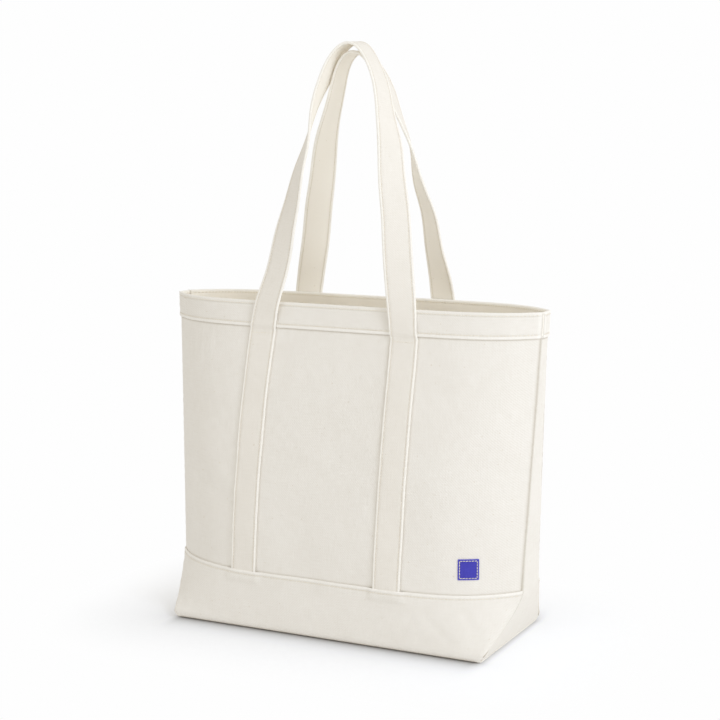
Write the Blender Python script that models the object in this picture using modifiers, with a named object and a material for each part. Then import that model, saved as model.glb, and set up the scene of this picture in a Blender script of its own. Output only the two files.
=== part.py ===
"""Canvas tote bag: a sewn canvas body with a wrapped base and two long strap handles.

Every cut piece of cloth, every strap and every run of thread is an object of its own, laid where it
is sewn. Units are metres and +Z is up. The origin is on the floor under the middle of the base, and
the front of the bag faces -Y.
"""

import math
from collections import namedtuple

import bmesh
import bpy
import numpy as np
from mathutils import Vector

# ---------------------------------------------------------------- Driving dimensions (metres)

# Canvas body, measured on the outer face of the cloth.
BASE_WIDTH = 0.397  # bottom, along X
BASE_DEPTH = 0.1836  # bottom, along Y
BAG_HEIGHT = 0.391  # floor to rim
RIM_WIDTH = 0.479  # mouth, along X
RIM_DEPTH = 0.108  # mouth, along Y, at its middle
FLARE_HEIGHT = 0.071  # below it the side gusset opens out to the full depth of the base
FLARE_WIDTH = 0.4514  # body width at that height
GUSSET_RIM_WIDTH = 0.0212  # side gusset, seam to seam, at the rim
GUSSET_FLARE_WIDTH = 0.056  # the same at the flare height
FLOOR_ROUNDING = 0.007  # radius where front and back turn under
BAND_TURN_ANGLES = (30, 60, 90)  # degrees of that turn at the base band's rows
PANEL_TURN_ANGLES = (30, 60, 85)  # the front and back end just above the floor
GUSSET_TURN_SHARES = (0.0, 0.15, 0.45)  # rows of the side gusset beside that turn

# How the outline changes between those heights (plain exponents).
FLARE_SWEEP = 1.43  # sides swinging out from the base ends
SEAM_SWEEP = 1.50  # gusset seam running out to the base corners
GUSSET_TAPER = 1.30  # gusset narrowing towards the rim
LEAN_POWER = 2.0  # front and back staying full and then drawing in to the rim
BASE_SQUARENESS = 10.0  # plan outline near the floor: almost a rectangle
FLARE_SQUARENESS = 4.8
RIM_SQUARENESS = 6.0

# Cloth and thread.
CANVAS = 0.0014  # one layer of heavy canvas
STRAP_THICKNESS = 0.0024  # strap folded from canvas
STRAP_WIDTH = 0.034
THREAD = 0.0007  # diameter of the topstitching
GAP = 0.0003  # clearance between pieces that lie on each other
THREAD_GAP = 0.0002  # clearance between a thread and the cloth it lies on
BAND_GAP = 0.0008  # the same under the base band, which bends sharply at the corners

# Base band: one piece wrapped from the front under the floor to the back.
BAND_HEIGHT = 0.071
BAND_STITCH_INSET = 0.004
STRAP_TUCK = 0.009  # how far the strap ends run under the band
TUCK_RAMP = 0.005  # length over which the band climbs onto a tucked strap end

# Hem folded over the rim.
HEM_HEIGHT = 0.029
HEM_STITCH_INSET = 0.0035

# Straps and handles.
STRAP_FOOT_SPACING = 0.1885  # strap centre lines at the base band
FRONT_FOOT_SHIFT = -0.0108  # the front straps are sewn slightly left of the middle
FRONT_TOP_SPACING = 0.180  # strap centre lines at the hem
BACK_TOP_SPACING = 0.191
BACK_TOP_SHIFT = -0.005  # the back straps run up slightly to the left
SHIFT_END = 0.17  # above the rim by this much the back handle has come back to the middle
CROSS_STITCH_DROP = 0.005  # the handle comes free this far below the hem
FOLD_ROUND = 0.0028  # the thick strap bends about a line this far in front of its sewn part
STRAIGHT_SHARE = 0.3  # share of that drop along which the free strap still lies on the wall
STRAP_STITCH_INSET = 0.0026
FRONT_HANDLE_TOP = 0.6905  # centre of the strap at the top of the loop
BACK_HANDLE_TOP = 0.6800  # the back loop nests under the front one
FRONT_HANDLE_LEAN_END = 0.004  # distance of the loop's top from the middle plane
BACK_HANDLE_LEAN_END = 0.006
FRONT_LEAN_POWER = 1.0
BACK_LEAN_POWER = 1.3  # the back loop stands up straighter before it leans in
FRONT_SHOULDER = 0.11  # the loops are parabolas seen from the front, the front one with shoulders
BACK_SHOULDER = 0.0
SHOULDER_RISE = 0.90  # share of the loop's height at which the shoulders are widest
SHOULDER_SPREAD = 0.22
TWIST_RISES = (0.01, 0.16, 0.52, 0.88)  # shares of the loop's height where the strap has turned
TWIST_ANGLES = (0.0, 18.0, 46.0, 90.0)  # by these angles, edge to front at the last

# Seam allowances bound with tape inside the bag.
BINDING_WIDTH = 0.009
BINDING_THICKNESS = 0.0016
BINDING_REACH = 0.98  # share of the way to the seam where the wall's direction is read

# Plain sewn patch low on the front.
PATCH_SIZE = 0.024
PATCH_THICKNESS = 0.0008
PATCH_FROM_SEAM = 0.0505  # its middle from the right side seam
PATCH_Z = 0.102
PATCH_STITCH_INSET = 0.002

# Facets.
END_COLUMNS = 5  # from a side seam to the nearer strap, closer together towards the seam
MIDDLE_COLUMNS = 4  # between the straps
COLUMN_CROWDING = 1.6
UPPER_ROWS = 6  # from the base band to the hem
ARCH_ROWS = 38
PATH_STEPS = 2000  # fine steps along which the length of a handle is measured
SURFACE_STEP = 1e-4  # step for the slopes of the body's surface

# ---------------------------------------------------------------- Values that follow

FLOOR_TOP = CANVAS + BAND_GAP  # the body stands on the base band's floor
HEM_BOTTOM = BAG_HEIGHT - HEM_HEIGHT
HEM_MIDDLE = BAG_HEIGHT - HEM_HEIGHT / 2
CANVAS_TOP = BAG_HEIGHT - CANVAS - GAP
CROSS_STITCH_HEIGHT = HEM_BOTTOM - CROSS_STITCH_DROP
HANDLE_FOOT = CROSS_STITCH_HEIGHT + GAP / 2
STRAP_OFFSET = GAP + STRAP_THICKNESS / 2
BAND_OFFSET = BAND_GAP + CANVAS / 2
HEM_OUTER_OFFSET = GAP + CANVAS / 2
HEM_INNER_OFFSET = -(CANVAS + GAP + CANVAS / 2)
THREAD_LIFT = THREAD_GAP + THREAD / 2
HANDLE_HEM_OFFSET = GAP + CANVAS + THREAD_GAP + THREAD + GAP + STRAP_THICKNESS / 2
STITCH_LINE = STRAP_WIDTH / 2 - STRAP_STITCH_INSET
STRAP_LINES = (-STRAP_WIDTH / 2, -STITCH_LINE, 0.0, STITCH_LINE, STRAP_WIDTH / 2)
GUSSET_SETBACK = 2 * CANVAS + 2 * GAP
HEM_SETBACK = 2 * CANVAS + GAP
FLOOR_SETBACK = 1.2 * CANVAS + GAP  # clears the gussets, which lean outwards
LYING_EDGE = STRAP_WIDTH / 2 + 2 * GAP  # from a strap's centre line to the cloth beside it

FRONT = -1.0
BACK = 1.0
LEFT = -1.0
RIGHT = 1.0
SIDE_NAMES = {LEFT: "left", RIGHT: "right"}
FACE_NAMES = {FRONT: "front", BACK: "back"}

Handle = namedtuple("Handle", "face crown lean_end lean_power shoulder")
FRONT_HANDLE = Handle(
    FRONT, FRONT_HANDLE_TOP, FRONT_HANDLE_LEAN_END, FRONT_LEAN_POWER, FRONT_SHOULDER
)
BACK_HANDLE = Handle(BACK, BACK_HANDLE_TOP, BACK_HANDLE_LEAN_END, BACK_LEAN_POWER, BACK_SHOULDER)


# ---------------------------------------------------------------- Shape of the canvas body


def rising(height):
    """Share of the way from the flare height to the rim."""
    return min(max((height - FLARE_HEIGHT) / (BAG_HEIGHT - FLARE_HEIGHT), 0.0), 1.0)


def flaring(height):
    """Share of the way from the floor to the flare height."""
    return min(max((height - FLOOR_TOP) / (FLARE_HEIGHT - FLOOR_TOP), 0.0), 1.0)


def half_width(height):
    """Distance of the side seams from the middle plane."""
    if height < FLARE_HEIGHT:
        swing = 1 - (1 - flaring(height)) ** FLARE_SWEEP
        return (BASE_WIDTH + (FLARE_WIDTH - BASE_WIDTH) * swing) / 2
    return (FLARE_WIDTH + (RIM_WIDTH - FLARE_WIDTH) * rising(height)) / 2


def half_gusset(height):
    """Half the width of the side gusset."""
    if height < FLARE_HEIGHT:
        foot = FLOOR_TOP + FLOOR_ROUNDING
        share = max((height - foot) / (FLARE_HEIGHT - foot), 0.0)
        opening = 1 - (1 - share) ** SEAM_SWEEP
        return (BASE_DEPTH - (BASE_DEPTH - GUSSET_FLARE_WIDTH) * opening) / 2
    taper = (1 - rising(height)) ** GUSSET_TAPER
    return (GUSSET_RIM_WIDTH + (GUSSET_FLARE_WIDTH - GUSSET_RIM_WIDTH) * taper) / 2


def half_depth(height):
    """Distance of the front and back from the middle plane, with the turn-under at the floor."""
    depth = (BASE_DEPTH - (BASE_DEPTH - RIM_DEPTH) * rising(height) ** LEAN_POWER) / 2
    above_floor = height - FLOOR_TOP
    if above_floor < FLOOR_ROUNDING:
        rise = 1 - max(above_floor, 0.0) / FLOOR_ROUNDING
        depth -= FLOOR_ROUNDING * (1 - math.sqrt(max(1 - rise * rise, 0.0)))
    return depth


def squareness(height):
    """Exponent of the plan outline."""
    if height < FLARE_HEIGHT:
        return BASE_SQUARENESS + (FLARE_SQUARENESS - BASE_SQUARENESS) * flaring(height)
    return FLARE_SQUARENESS + (RIM_SQUARENESS - FLARE_SQUARENESS) * rising(height)


def wall_height(girth):
    """Height of a point on the front or back, with girth measured up from the rounded edge."""
    if girth >= 0:
        return FLOOR_TOP + FLOOR_ROUNDING + girth
    return FLOOR_TOP + FLOOR_ROUNDING * (1 - math.sin(-girth / FLOOR_ROUNDING))


def girth_at(height):
    """The inverse of wall_height above the rounded edge."""
    return height - FLOOR_TOP - FLOOR_ROUNDING


def wall_surface(face, across, girth):
    """Point on the outer face of the front or back; across runs from -1 to 1 between the seams."""
    height = wall_height(girth)
    depth = half_depth(height)
    seam = min(half_gusset(height), depth)
    bulge = 1 - abs(across) ** squareness(height)
    return Vector((across * half_width(height), face * (seam + (depth - seam) * bulge), height))


def wall_point(face, across, girth, offset):
    """The same point moved outwards along the cloth's normal."""
    step = SURFACE_STEP
    low = max(girth - step, -FLOOR_ROUNDING * math.pi / 2)
    along = wall_surface(face, across + step, girth) - wall_surface(face, across - step, girth)
    up = wall_surface(face, across, girth + step) - wall_surface(face, across, low)
    normal = along.cross(up).normalized()
    return wall_surface(face, across, girth) + normal * (-face * offset)


def wall_point_at(face, x, height, offset):
    """A wall point found by its distance from the middle plane and its height."""
    return wall_point(face, x / half_width(height), girth_at(height), offset)


def gusset_point(side, share, height, setback, offset):
    """Point on a side gusset, share running from -1 at the front edge to 1 at the back edge."""
    reach = min(half_gusset(height), half_depth(height)) - setback
    step = SURFACE_STEP
    slope = (half_width(height + step) - half_width(height)) / step
    outward = Vector((1, 0, -slope)).normalized() * offset
    return Vector((side * (half_width(height) + outward.x), share * reach, height + outward.z))


def rim_point(face, across, height, offset):
    """Point at the rim, moved straight out from the wall with no change of height."""
    step = SURFACE_STEP
    girth = girth_at(height)
    along = wall_surface(face, across + step, girth) - wall_surface(face, across - step, girth)
    normal = Vector((along.y, -along.x, 0)).normalized()
    return wall_surface(face, across, girth) + normal * (-face * offset)


def strap_centre(face, side, height):
    """Distance of a strap's centre line from the middle plane."""
    share = (height - BAND_HEIGHT) / (CROSS_STITCH_HEIGHT - BAND_HEIGHT)
    if face == FRONT:
        foot = side * STRAP_FOOT_SPACING / 2 + FRONT_FOOT_SHIFT
        top = side * FRONT_TOP_SPACING / 2
    else:
        foot = side * STRAP_FOOT_SPACING / 2
        top = side * BACK_TOP_SPACING / 2 + BACK_TOP_SHIFT
    return foot + (top - foot) * share


def wall_columns(face):
    """Stations across a wall, shared by all that lies on it: seam, strap, middle, strap, seam."""
    width = half_width(BAND_HEIGHT)
    ramp = LYING_EDGE + TUCK_RAMP
    steps = (-ramp, -LYING_EDGE, 0.0, LYING_EDGE, ramp)
    left, right = (
        [(strap_centre(face, side, BAND_HEIGHT) + step) / width for step in steps]
        for side in (LEFT, RIGHT)
    )
    crowded = [(step / END_COLUMNS) ** COLUMN_CROWDING for step in range(END_COLUMNS)]
    left_end = [-1 + (left[0] + 1) * share for share in crowded]
    right_end = [1 - (1 - right[-1]) * share for share in reversed(crowded)]
    middle = even(left[-1], right[0], MIDDLE_COLUMNS + 1)[1:-1]
    return left_end + left + middle + right + right_end


def band_heights():
    """Heights of the rows of the base band, from the rounded edge up to its top."""
    tuck_end = BAND_HEIGHT - STRAP_TUCK - GAP
    foot = FLOOR_TOP + FLOOR_ROUNDING
    ramp_end = tuck_end - TUCK_RAMP
    middle = (foot + ramp_end) / 2
    return [foot, middle, ramp_end, tuck_end, BAND_HEIGHT - BAND_STITCH_INSET, BAND_HEIGHT]


def wall_heights(top):
    """Heights shared by all that lies on a wall, from the rounded edge up to the top."""
    upper = even(BAND_HEIGHT, HEM_BOTTOM, UPPER_ROWS + 1)[1:]
    heights = band_heights() + upper + [HEM_MIDDLE]
    return [height for height in heights if height < top - GAP] + [top]


# ---------------------------------------------------------------- Building blocks


def clear_scene():
    """Empties the scene without closing the file."""
    for item in list(bpy.data.objects):
        bpy.data.objects.remove(item, do_unlink=True)


def make_material(name, colour, roughness):
    """A plain Principled cloth or thread."""
    material = bpy.data.materials.new(name)
    material.use_nodes = True
    shader = material.node_tree.nodes["Principled BSDF"]
    shader.inputs["Base Color"].default_value = (*colour, 1.0)
    shader.inputs["Roughness"].default_value = roughness
    shader.inputs["Metallic"].default_value = 0.0
    material.diffuse_color = (*colour, 1.0)
    return material


def even(start, end, count):
    """Evenly spaced values from start to end, both included."""
    return [float(value) for value in np.linspace(start, end, count)]


def place(item, collection, material, hinge):
    """Gives an object its material and, if it moves, hangs it on its hinge."""
    item.data.materials.append(material)
    collection.objects.link(item)
    if hinge is not None:
        item.parent = hinge
    return item


def lowest_and_outermost(vertex):
    """Ranks the corners of a quad, so that sheets lying on each other are cut along one diagonal."""
    return abs(vertex.co.x) - vertex.co.z


def cloth(name, rows, thickness, collection, material, hinge=None):
    """A sheet lofted through rows of points, with an even thickness about that surface."""
    origin = hinge.location if hinge is not None else Vector()
    sheet = bmesh.new()
    grid = [[sheet.verts.new(point - origin) for point in row] for row in rows]
    for lower, upper in zip(grid, grid[1:]):
        for left in range(len(lower) - 1):
            quad = (lower[left], lower[left + 1], upper[left + 1], upper[left])
            first = quad.index(max(quad, key=lowest_and_outermost))
            corners = quad[first:] + quad[:first]
            sheet.faces.new(corners[:3])
            sheet.faces.new((corners[0], corners[2], corners[3]))
    mesh = bpy.data.meshes.new(name)
    sheet.to_mesh(mesh)
    sheet.free()
    mesh.shade_smooth()
    item = place(bpy.data.objects.new(name, mesh), collection, material, hinge)
    solid = item.modifiers.new("Thickness", "SOLIDIFY")
    solid.thickness = thickness
    solid.offset = 0.0
    solid.use_even_offset = True
    return item


def thread(name, points, collection, material, closed=True, hinge=None):
    """One run of topstitching as a thin round cord through the points."""
    origin = hinge.location if hinge is not None else Vector()
    curve = bpy.data.curves.new(name, "CURVE")
    curve.dimensions = "3D"
    curve.bevel_depth = THREAD / 2
    curve.bevel_resolution = 0
    curve.use_fill_caps = True
    spline = curve.splines.new("POLY")
    spline.points.add(len(points) - 1)
    for knot, point in zip(spline.points, points):
        knot.co = (*(point - origin), 1.0)
    spline.use_cyclic_u = closed
    return place(bpy.data.objects.new(name, curve), collection, material, hinge)


def make_hinge(name, location):
    """An empty on a handle's fold line."""
    hinge = bpy.data.objects.new(name, None)
    hinge.location = location
    hinge.empty_display_size = 0.02
    return hinge


# ---------------------------------------------------------------- Canvas body


def make_wall(face, collection, material):
    """Front or back: one panel from the rim to just past the rounded bottom edge."""
    girths = [-FLOOR_ROUNDING * math.radians(angle) for angle in reversed(PANEL_TURN_ANGLES)]
    girths += [girth_at(height) for height in wall_heights(CANVAS_TOP)]
    columns = wall_columns(face)
    rows = [[wall_point(face, a, g, -CANVAS / 2) for a in columns] for g in girths]
    return cloth(f"{FACE_NAMES[face]}_panel", rows, CANVAS, collection, material)


def make_gusset(side, collection, material):
    """Side gusset: a narrow strip that opens out to the whole end of the base."""
    floor = FLOOR_TOP + GAP
    heights = [floor + FLOOR_ROUNDING * share for share in GUSSET_TURN_SHARES]
    heights += wall_heights(CANVAS_TOP)
    shares = even(-1.0, 1.0, 3)
    rows = [
        [gusset_point(side, s, h, GUSSET_SETBACK, -CANVAS / 2) for s in shares] for h in heights
    ]
    return cloth(f"{SIDE_NAMES[side]}_gusset", rows, CANVAS, collection, material)


def make_floor(collection, material):
    """Inner floor, lying on the base band between the four walls."""
    reach_x = BASE_WIDTH / 2 - FLOOR_SETBACK
    reach_y = BASE_DEPTH / 2 - FLOOR_ROUNDING
    middle = FLOOR_TOP + CANVAS / 2
    rows = [[Vector((x, y, middle)) for x in (-reach_x, reach_x)] for y in (-reach_y, reach_y)]
    return cloth("base_panel", rows, CANVAS, collection, material)


def band_lift(face, across, height):
    """Extra height of the base band over the tucked strap ends."""
    x = across * half_width(BAND_HEIGHT)
    over_strap = 0.0
    for side in (LEFT, RIGHT):
        away = abs(x - strap_centre(face, side, BAND_HEIGHT)) - LYING_EDGE
        over_strap = max(over_strap, 1 - max(away, 0.0) / TUCK_RAMP)
    below = BAND_HEIGHT - STRAP_TUCK - GAP - height
    over_end = 1 - max(below, 0.0) / TUCK_RAMP
    return STRAP_THICKNESS * max(min(over_strap, over_end), 0.0)


def band_row(face, girth, columns):
    """One row of the base band across the bag."""
    height = wall_height(girth)
    return [
        wall_point(face, a, girth, BAND_OFFSET + band_lift(face, a, height)) for a in columns
    ]


def make_base_band(collection, material):
    """The reinforcement wrapped around the bottom from front to back."""
    girths = [girth_at(height) for height in reversed(band_heights())]
    girths += [-FLOOR_ROUNDING * math.radians(angle) for angle in BAND_TURN_ANGLES]
    front_columns, back_columns = wall_columns(FRONT), wall_columns(BACK)
    rows = [band_row(FRONT, girth, front_columns) for girth in girths]
    rows += [band_row(BACK, girth, back_columns) for girth in reversed(girths)]
    return cloth("base_band", rows, CANVAS, collection, material)


def hem_profile():
    """Offset and height of each row of a hem: up the outside, over the top, down the inside."""
    heights = (HEM_BOTTOM, HEM_MIDDLE, BAG_HEIGHT - CANVAS / 2)
    outside = [(HEM_OUTER_OFFSET, height) for height in heights]
    inside = [(HEM_INNER_OFFSET, height) for height in reversed(heights)]
    return outside + inside


def make_wall_hem(face, collection, material):
    """Hem folded over the top edge of the front or back."""
    columns = wall_columns(face)
    rows = [[rim_point(face, a, h, offset) for a in columns] for offset, h in hem_profile()]
    return cloth(f"{FACE_NAMES[face]}_hem", rows, CANVAS, collection, material)


def make_gusset_hem(side, collection, material):
    """Hem folded over the top edge of a side gusset."""
    reach = half_gusset(BAG_HEIGHT) - HEM_SETBACK
    shares = even(-1.0, 1.0, 3)
    rows = [
        [Vector((side * (half_width(h) + offset), s * reach, h)) for s in shares]
        for offset, h in hem_profile()
    ]
    return cloth(f"{SIDE_NAMES[side]}_hem", rows, CANVAS, collection, material)


def make_binding(face, side, collection, material):
    """Bound seam allowance standing into the bag along a side seam."""
    rows = []
    for height in wall_heights(HEM_BOTTOM - GAP)[1:]:
        seam = wall_surface(face, side, girth_at(height))
        along_wall = wall_surface(face, side * BINDING_REACH, girth_at(height)) - seam
        along_wall.z = 0
        along_gusset = Vector((0, -face, 0))
        inward = (along_wall.normalized() + along_gusset).normalized()
        opening = inward.angle(along_gusset)
        start = (CANVAS + GAP + BINDING_THICKNESS / 2) / math.sin(opening)
        rows.append([seam + inward * start, seam + inward * (start + BINDING_WIDTH)])
    name = f"{FACE_NAMES[face]}_{SIDE_NAMES[side]}_seam_binding"
    return cloth(name, rows, BINDING_THICKNESS, collection, material)


# ---------------------------------------------------------------- Straps and handles


def leg_row(face, side, height, offset):
    """The edges and stitch lines of a sewn strap at one height."""
    centre = strap_centre(face, side, height)
    return [wall_point_at(face, centre + line, height, offset) for line in STRAP_LINES]


def make_leg(face, side, collection, material):
    """The length of strap that is sewn to the wall, from under the base band up to the hem."""
    foot = BAND_HEIGHT - STRAP_TUCK
    top = CROSS_STITCH_HEIGHT - 2 * GAP
    heights = [foot] + [height for height in wall_heights(top) if height > foot + GAP]
    rows = [leg_row(face, side, height, STRAP_OFFSET) for height in heights]
    name = f"{FACE_NAMES[face]}_{SIDE_NAMES[side]}_strap"
    return cloth(name, rows, STRAP_THICKNESS, collection, material)


def make_leg_stitching(face, side, collection, material):
    """One run of thread around a sewn strap, closed by the cross stitches at the top."""
    lift = STRAP_OFFSET + STRAP_THICKNESS / 2 + THREAD_LIFT
    bottom = BAND_HEIGHT + BAND_STITCH_INSET
    top = CROSS_STITCH_HEIGHT - STRAP_STITCH_INSET
    heights = [bottom] + [height for height in wall_heights(top) if height > bottom + GAP]

    def line(sign, height):
        x = strap_centre(face, side, height) + sign * STITCH_LINE
        return wall_point_at(face, x, height, lift)

    points = [line(-1, height) for height in heights]
    points += [line(1, height) for height in reversed(heights)]
    name = f"{FACE_NAMES[face]}_{SIDE_NAMES[side]}_strap_stitching"
    return thread(name, points, collection, material)


def handle_rise(handle, height):
    """Share of the way from the foot of a handle to its top."""
    return (height - HANDLE_FOOT) / (handle.crown - HANDLE_FOOT)


def handle_twist(handle, height):
    """How far the strap has turned edge to front, in radians."""
    return math.radians(float(np.interp(handle_rise(handle, height), TWIST_RISES, TWIST_ANGLES)))


def handle_offset(handle, height):
    """Distance of a handle's centre line from the wall, up to the rim; its inner edge lies on it."""
    straight = CROSS_STITCH_DROP * STRAIGHT_SHARE
    climb = (height - HANDLE_FOOT - straight) / (HEM_BOTTOM - HANDLE_FOOT - straight)
    climb = min(max(climb, 0.0), 1.0)
    turned = math.sin(handle_twist(handle, height)) * STRAP_WIDTH / 2
    return STRAP_OFFSET + (HANDLE_HEM_OFFSET - STRAP_OFFSET) * climb + turned


def handle_path(handle):
    """Centre line of a handle, from its left foot over the top to its right foot."""
    left = strap_centre(handle.face, LEFT, HANDLE_FOOT)
    right = strap_centre(handle.face, RIGHT, HANDLE_FOOT)
    rim_distance = half_depth(BAG_HEIGHT) + handle_offset(handle, BAG_HEIGHT)

    def at(turn):
        share = math.sin(turn) ** 2
        height = HANDLE_FOOT + (handle.crown - HANDLE_FOOT) * share
        from_shoulder = (share - SHOULDER_RISE) / SHOULDER_SPREAD
        widening = 1 + handle.shoulder * math.exp(-from_shoulder * from_shoulder)
        settled = min(max((height - BAG_HEIGHT) / SHIFT_END, 0.0), 1.0)
        x = (left + right) / 2 * (1 - settled) - (right - left) / 2 * math.cos(turn) * widening
        if height < BAG_HEIGHT:
            distance = half_depth(height) + handle_offset(handle, height)
            return Vector((x, handle.face * distance, height))
        lean = ((height - BAG_HEIGHT) / (handle.crown - BAG_HEIGHT)) ** handle.lean_power
        distance = rim_distance + (handle.lean_end - rim_distance) * lean
        return Vector((x, handle.face * distance, height))

    fine = [at(turn) for turn in even(0.0, math.pi, PATH_STEPS + 1)]
    lengths = [0.0]
    for first, second in zip(fine, fine[1:]):
        lengths.append(lengths[-1] + (second - first).length)
    half = range(len(fine) // 2)
    straight_end = HANDLE_FOOT + CROSS_STITCH_DROP * STRAIGHT_SHARE
    marks = (HANDLE_FOOT, straight_end, HEM_BOTTOM, HEM_MIDDLE, BAG_HEIGHT)
    stations = [
        float(np.interp(mark, [fine[i].z for i in half], [lengths[i] for i in half])) for mark in marks
    ]
    stations += even(stations[-1], lengths[-1] / 2, ARCH_ROWS // 2)[1:]
    stations += [lengths[-1] - station for station in reversed(stations[:-1])]
    axes = [[point[axis] for point in fine] for axis in range(3)]
    return [Vector([float(np.interp(s, lengths, axis)) for axis in axes]) for s in stations]


def handle_frames(handle):
    """Centre, outer normal and width direction of a handle at each row, level at its feet."""
    path = handle_path(handle)
    frames = []
    for index, centre in enumerate(path):
        before, after = path[max(index - 1, 0)], path[min(index + 1, len(path) - 1)]
        tangent = after - before
        tangent.x *= min((centre.z - HANDLE_FOOT) / (BAG_HEIGHT - HANDLE_FOOT), 1.0)
        tangent.normalize()
        facing = Vector((0, handle.face, 0))
        facing = (facing - tangent * facing.dot(tangent)).normalized()
        outward = facing.cross(tangent) * -handle.face
        twist = handle_twist(handle, centre.z)
        normal = facing * math.cos(twist) + outward * math.sin(twist)
        frames.append((centre, normal, tangent.cross(normal)))
    return frames


def make_handle(handle, collection, materials):
    """A free handle loop and its edge stitching, hung on the line where the strap comes free."""
    strap_material, thread_material = materials
    fold = half_depth(CROSS_STITCH_HEIGHT) + GAP + STRAP_THICKNESS + FOLD_ROUND
    name = f"{FACE_NAMES[handle.face]}_handle"
    hinge = make_hinge(f"{name}_hinge", Vector((0, handle.face * fold, CROSS_STITCH_HEIGHT)))
    collection.objects.link(hinge)
    frames = handle_frames(handle)
    rows = [[centre + wide * line for line in STRAP_LINES] for centre, _, wide in frames]
    cloth(f"{name}_loop", rows, STRAP_THICKNESS, collection, strap_material, hinge)
    lift = STRAP_THICKNESS / 2 + GAP + THREAD / 2
    inner = frames[1:-1]
    points = [centre + normal * lift - wide * STITCH_LINE for centre, normal, wide in inner]
    points += [centre + normal * lift + wide * STITCH_LINE for centre, normal, wide in inner[::-1]]
    thread(f"{name}_stitching", points, collection, thread_material, hinge=hinge)


# ---------------------------------------------------------------- Seam threads and patch


def make_hem_stitching(name, height, collection, material):
    """One run of thread around the whole rim, over all four hems."""
    lift = HEM_OUTER_OFFSET + CANVAS / 2 + THREAD_LIFT
    points = []
    for face, order in ((FRONT, 1), (BACK, -1)):
        columns = wall_columns(face)[1:-1][::order]
        points += [rim_point(face, a, height, lift) for a in columns]
        side = RIGHT if face == FRONT else LEFT
        end = rim_point(face, side, height, lift)
        corner_x = side * (half_width(height) + lift)
        slope = (points[-1].y - end.y) / (points[-1].x - end.x)
        points.append(Vector((corner_x, end.y + slope * (corner_x - end.x), height)))
        points.append(Vector((corner_x, -points[-1].y, height)))
    return thread(name, points, collection, material)


def make_band_stitching(face, collection, material):
    """The row of thread along the top of the base band."""
    height = BAND_HEIGHT - BAND_STITCH_INSET
    lift = BAND_OFFSET + CANVAS / 2 + THREAD_LIFT
    points = [
        wall_point(face, a, girth_at(height), lift + band_lift(face, a, height))
        for a in wall_columns(face)
    ]
    name = f"{FACE_NAMES[face]}_band_stitching"
    return thread(name, points, collection, material, closed=False)


def patch_x(across):
    """Distance from the middle plane of a point this far across the patch, along the curved wall."""
    middle = half_width(PATCH_Z) - PATCH_FROM_SEAM
    step = wall_point_at(FRONT, middle + PATCH_SIZE / 2, PATCH_Z, 0.0)
    step -= wall_point_at(FRONT, middle - PATCH_SIZE / 2, PATCH_Z, 0.0)
    return middle + across * step.x / step.length


def patch_point(across, up, offset):
    """Point of the patch, measured from its centre along the front of the bag."""
    return wall_point_at(FRONT, patch_x(across), PATCH_Z + up, offset)


def make_patch(collection, cloth_material, thread_material):
    """A plain square of coloured cloth and the thread that holds it."""
    lifts = GAP + PATCH_THICKNESS / 2
    steps = even(-PATCH_SIZE / 2, PATCH_SIZE / 2, 4)
    rows = [[patch_point(across, up, lifts) for across in steps] for up in steps]
    cloth("patch", rows, PATCH_THICKNESS, collection, cloth_material)
    lift = GAP + PATCH_THICKNESS + THREAD_LIFT
    ring = even(-1.0, 1.0, 4)
    reach = PATCH_SIZE / 2 - PATCH_STITCH_INSET
    square = [(s, -1.0) for s in ring] + [(1.0, s) for s in ring[1:]]
    square += [(-s, 1.0) for s in ring[1:]] + [(-1.0, -s) for s in ring[1:-1]]
    points = [patch_point(across * reach, up * reach, lift) for across, up in square]
    thread("patch_stitching", points, collection, thread_material)


# ---------------------------------------------------------------- Assembly


def main():
    clear_scene()
    bag = bpy.data.collections.new("tote_bag")
    bpy.context.scene.collection.children.link(bag)
    canvas = make_material("natural_canvas", (0.80, 0.76, 0.68), 0.9)
    binding = make_material("binding_tape", (0.76, 0.72, 0.63), 0.9)
    strap = make_material("strap_canvas", (0.80, 0.76, 0.68), 0.9)
    stitching = make_material("ecru_thread", (0.74, 0.70, 0.61), 0.7)
    blue = make_material("blue_cloth", (0.07, 0.065, 0.47), 0.85)

    make_floor(bag, canvas)
    make_base_band(bag, canvas)
    for face in (FRONT, BACK):
        make_wall(face, bag, canvas)
        make_wall_hem(face, bag, canvas)
        make_band_stitching(face, bag, stitching)
        for side in (LEFT, RIGHT):
            make_binding(face, side, bag, binding)
            make_leg(face, side, bag, strap)
            make_leg_stitching(face, side, bag, stitching)
    for side in (LEFT, RIGHT):
        make_gusset(side, bag, canvas)
        make_gusset_hem(side, bag, canvas)
    make_hem_stitching("rim_upper_stitching", BAG_HEIGHT - HEM_STITCH_INSET, bag, stitching)
    make_hem_stitching("rim_lower_stitching", HEM_BOTTOM + HEM_STITCH_INSET, bag, stitching)
    make_patch(bag, blue, stitching)
    finishes = (strap, stitching)
    make_handle(FRONT_HANDLE, bag, finishes)
    make_handle(BACK_HANDLE, bag, finishes)


main()
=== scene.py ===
"""Canvas tote bag, dressed: sewn panels, hems, straps and topstitching in undyed cotton canvas.

Every cut piece of cloth is a closed sheet of its own that follows the body of the bag, with its
folds, seam grooves and puckers in the mesh. Every stitch is a short arched thread of its own.
Units are metres, +Z is up and the front of the bag faces -Y.
"""

import logging
import math
from dataclasses import dataclass, field
from enum import Enum
from typing import Callable

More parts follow.
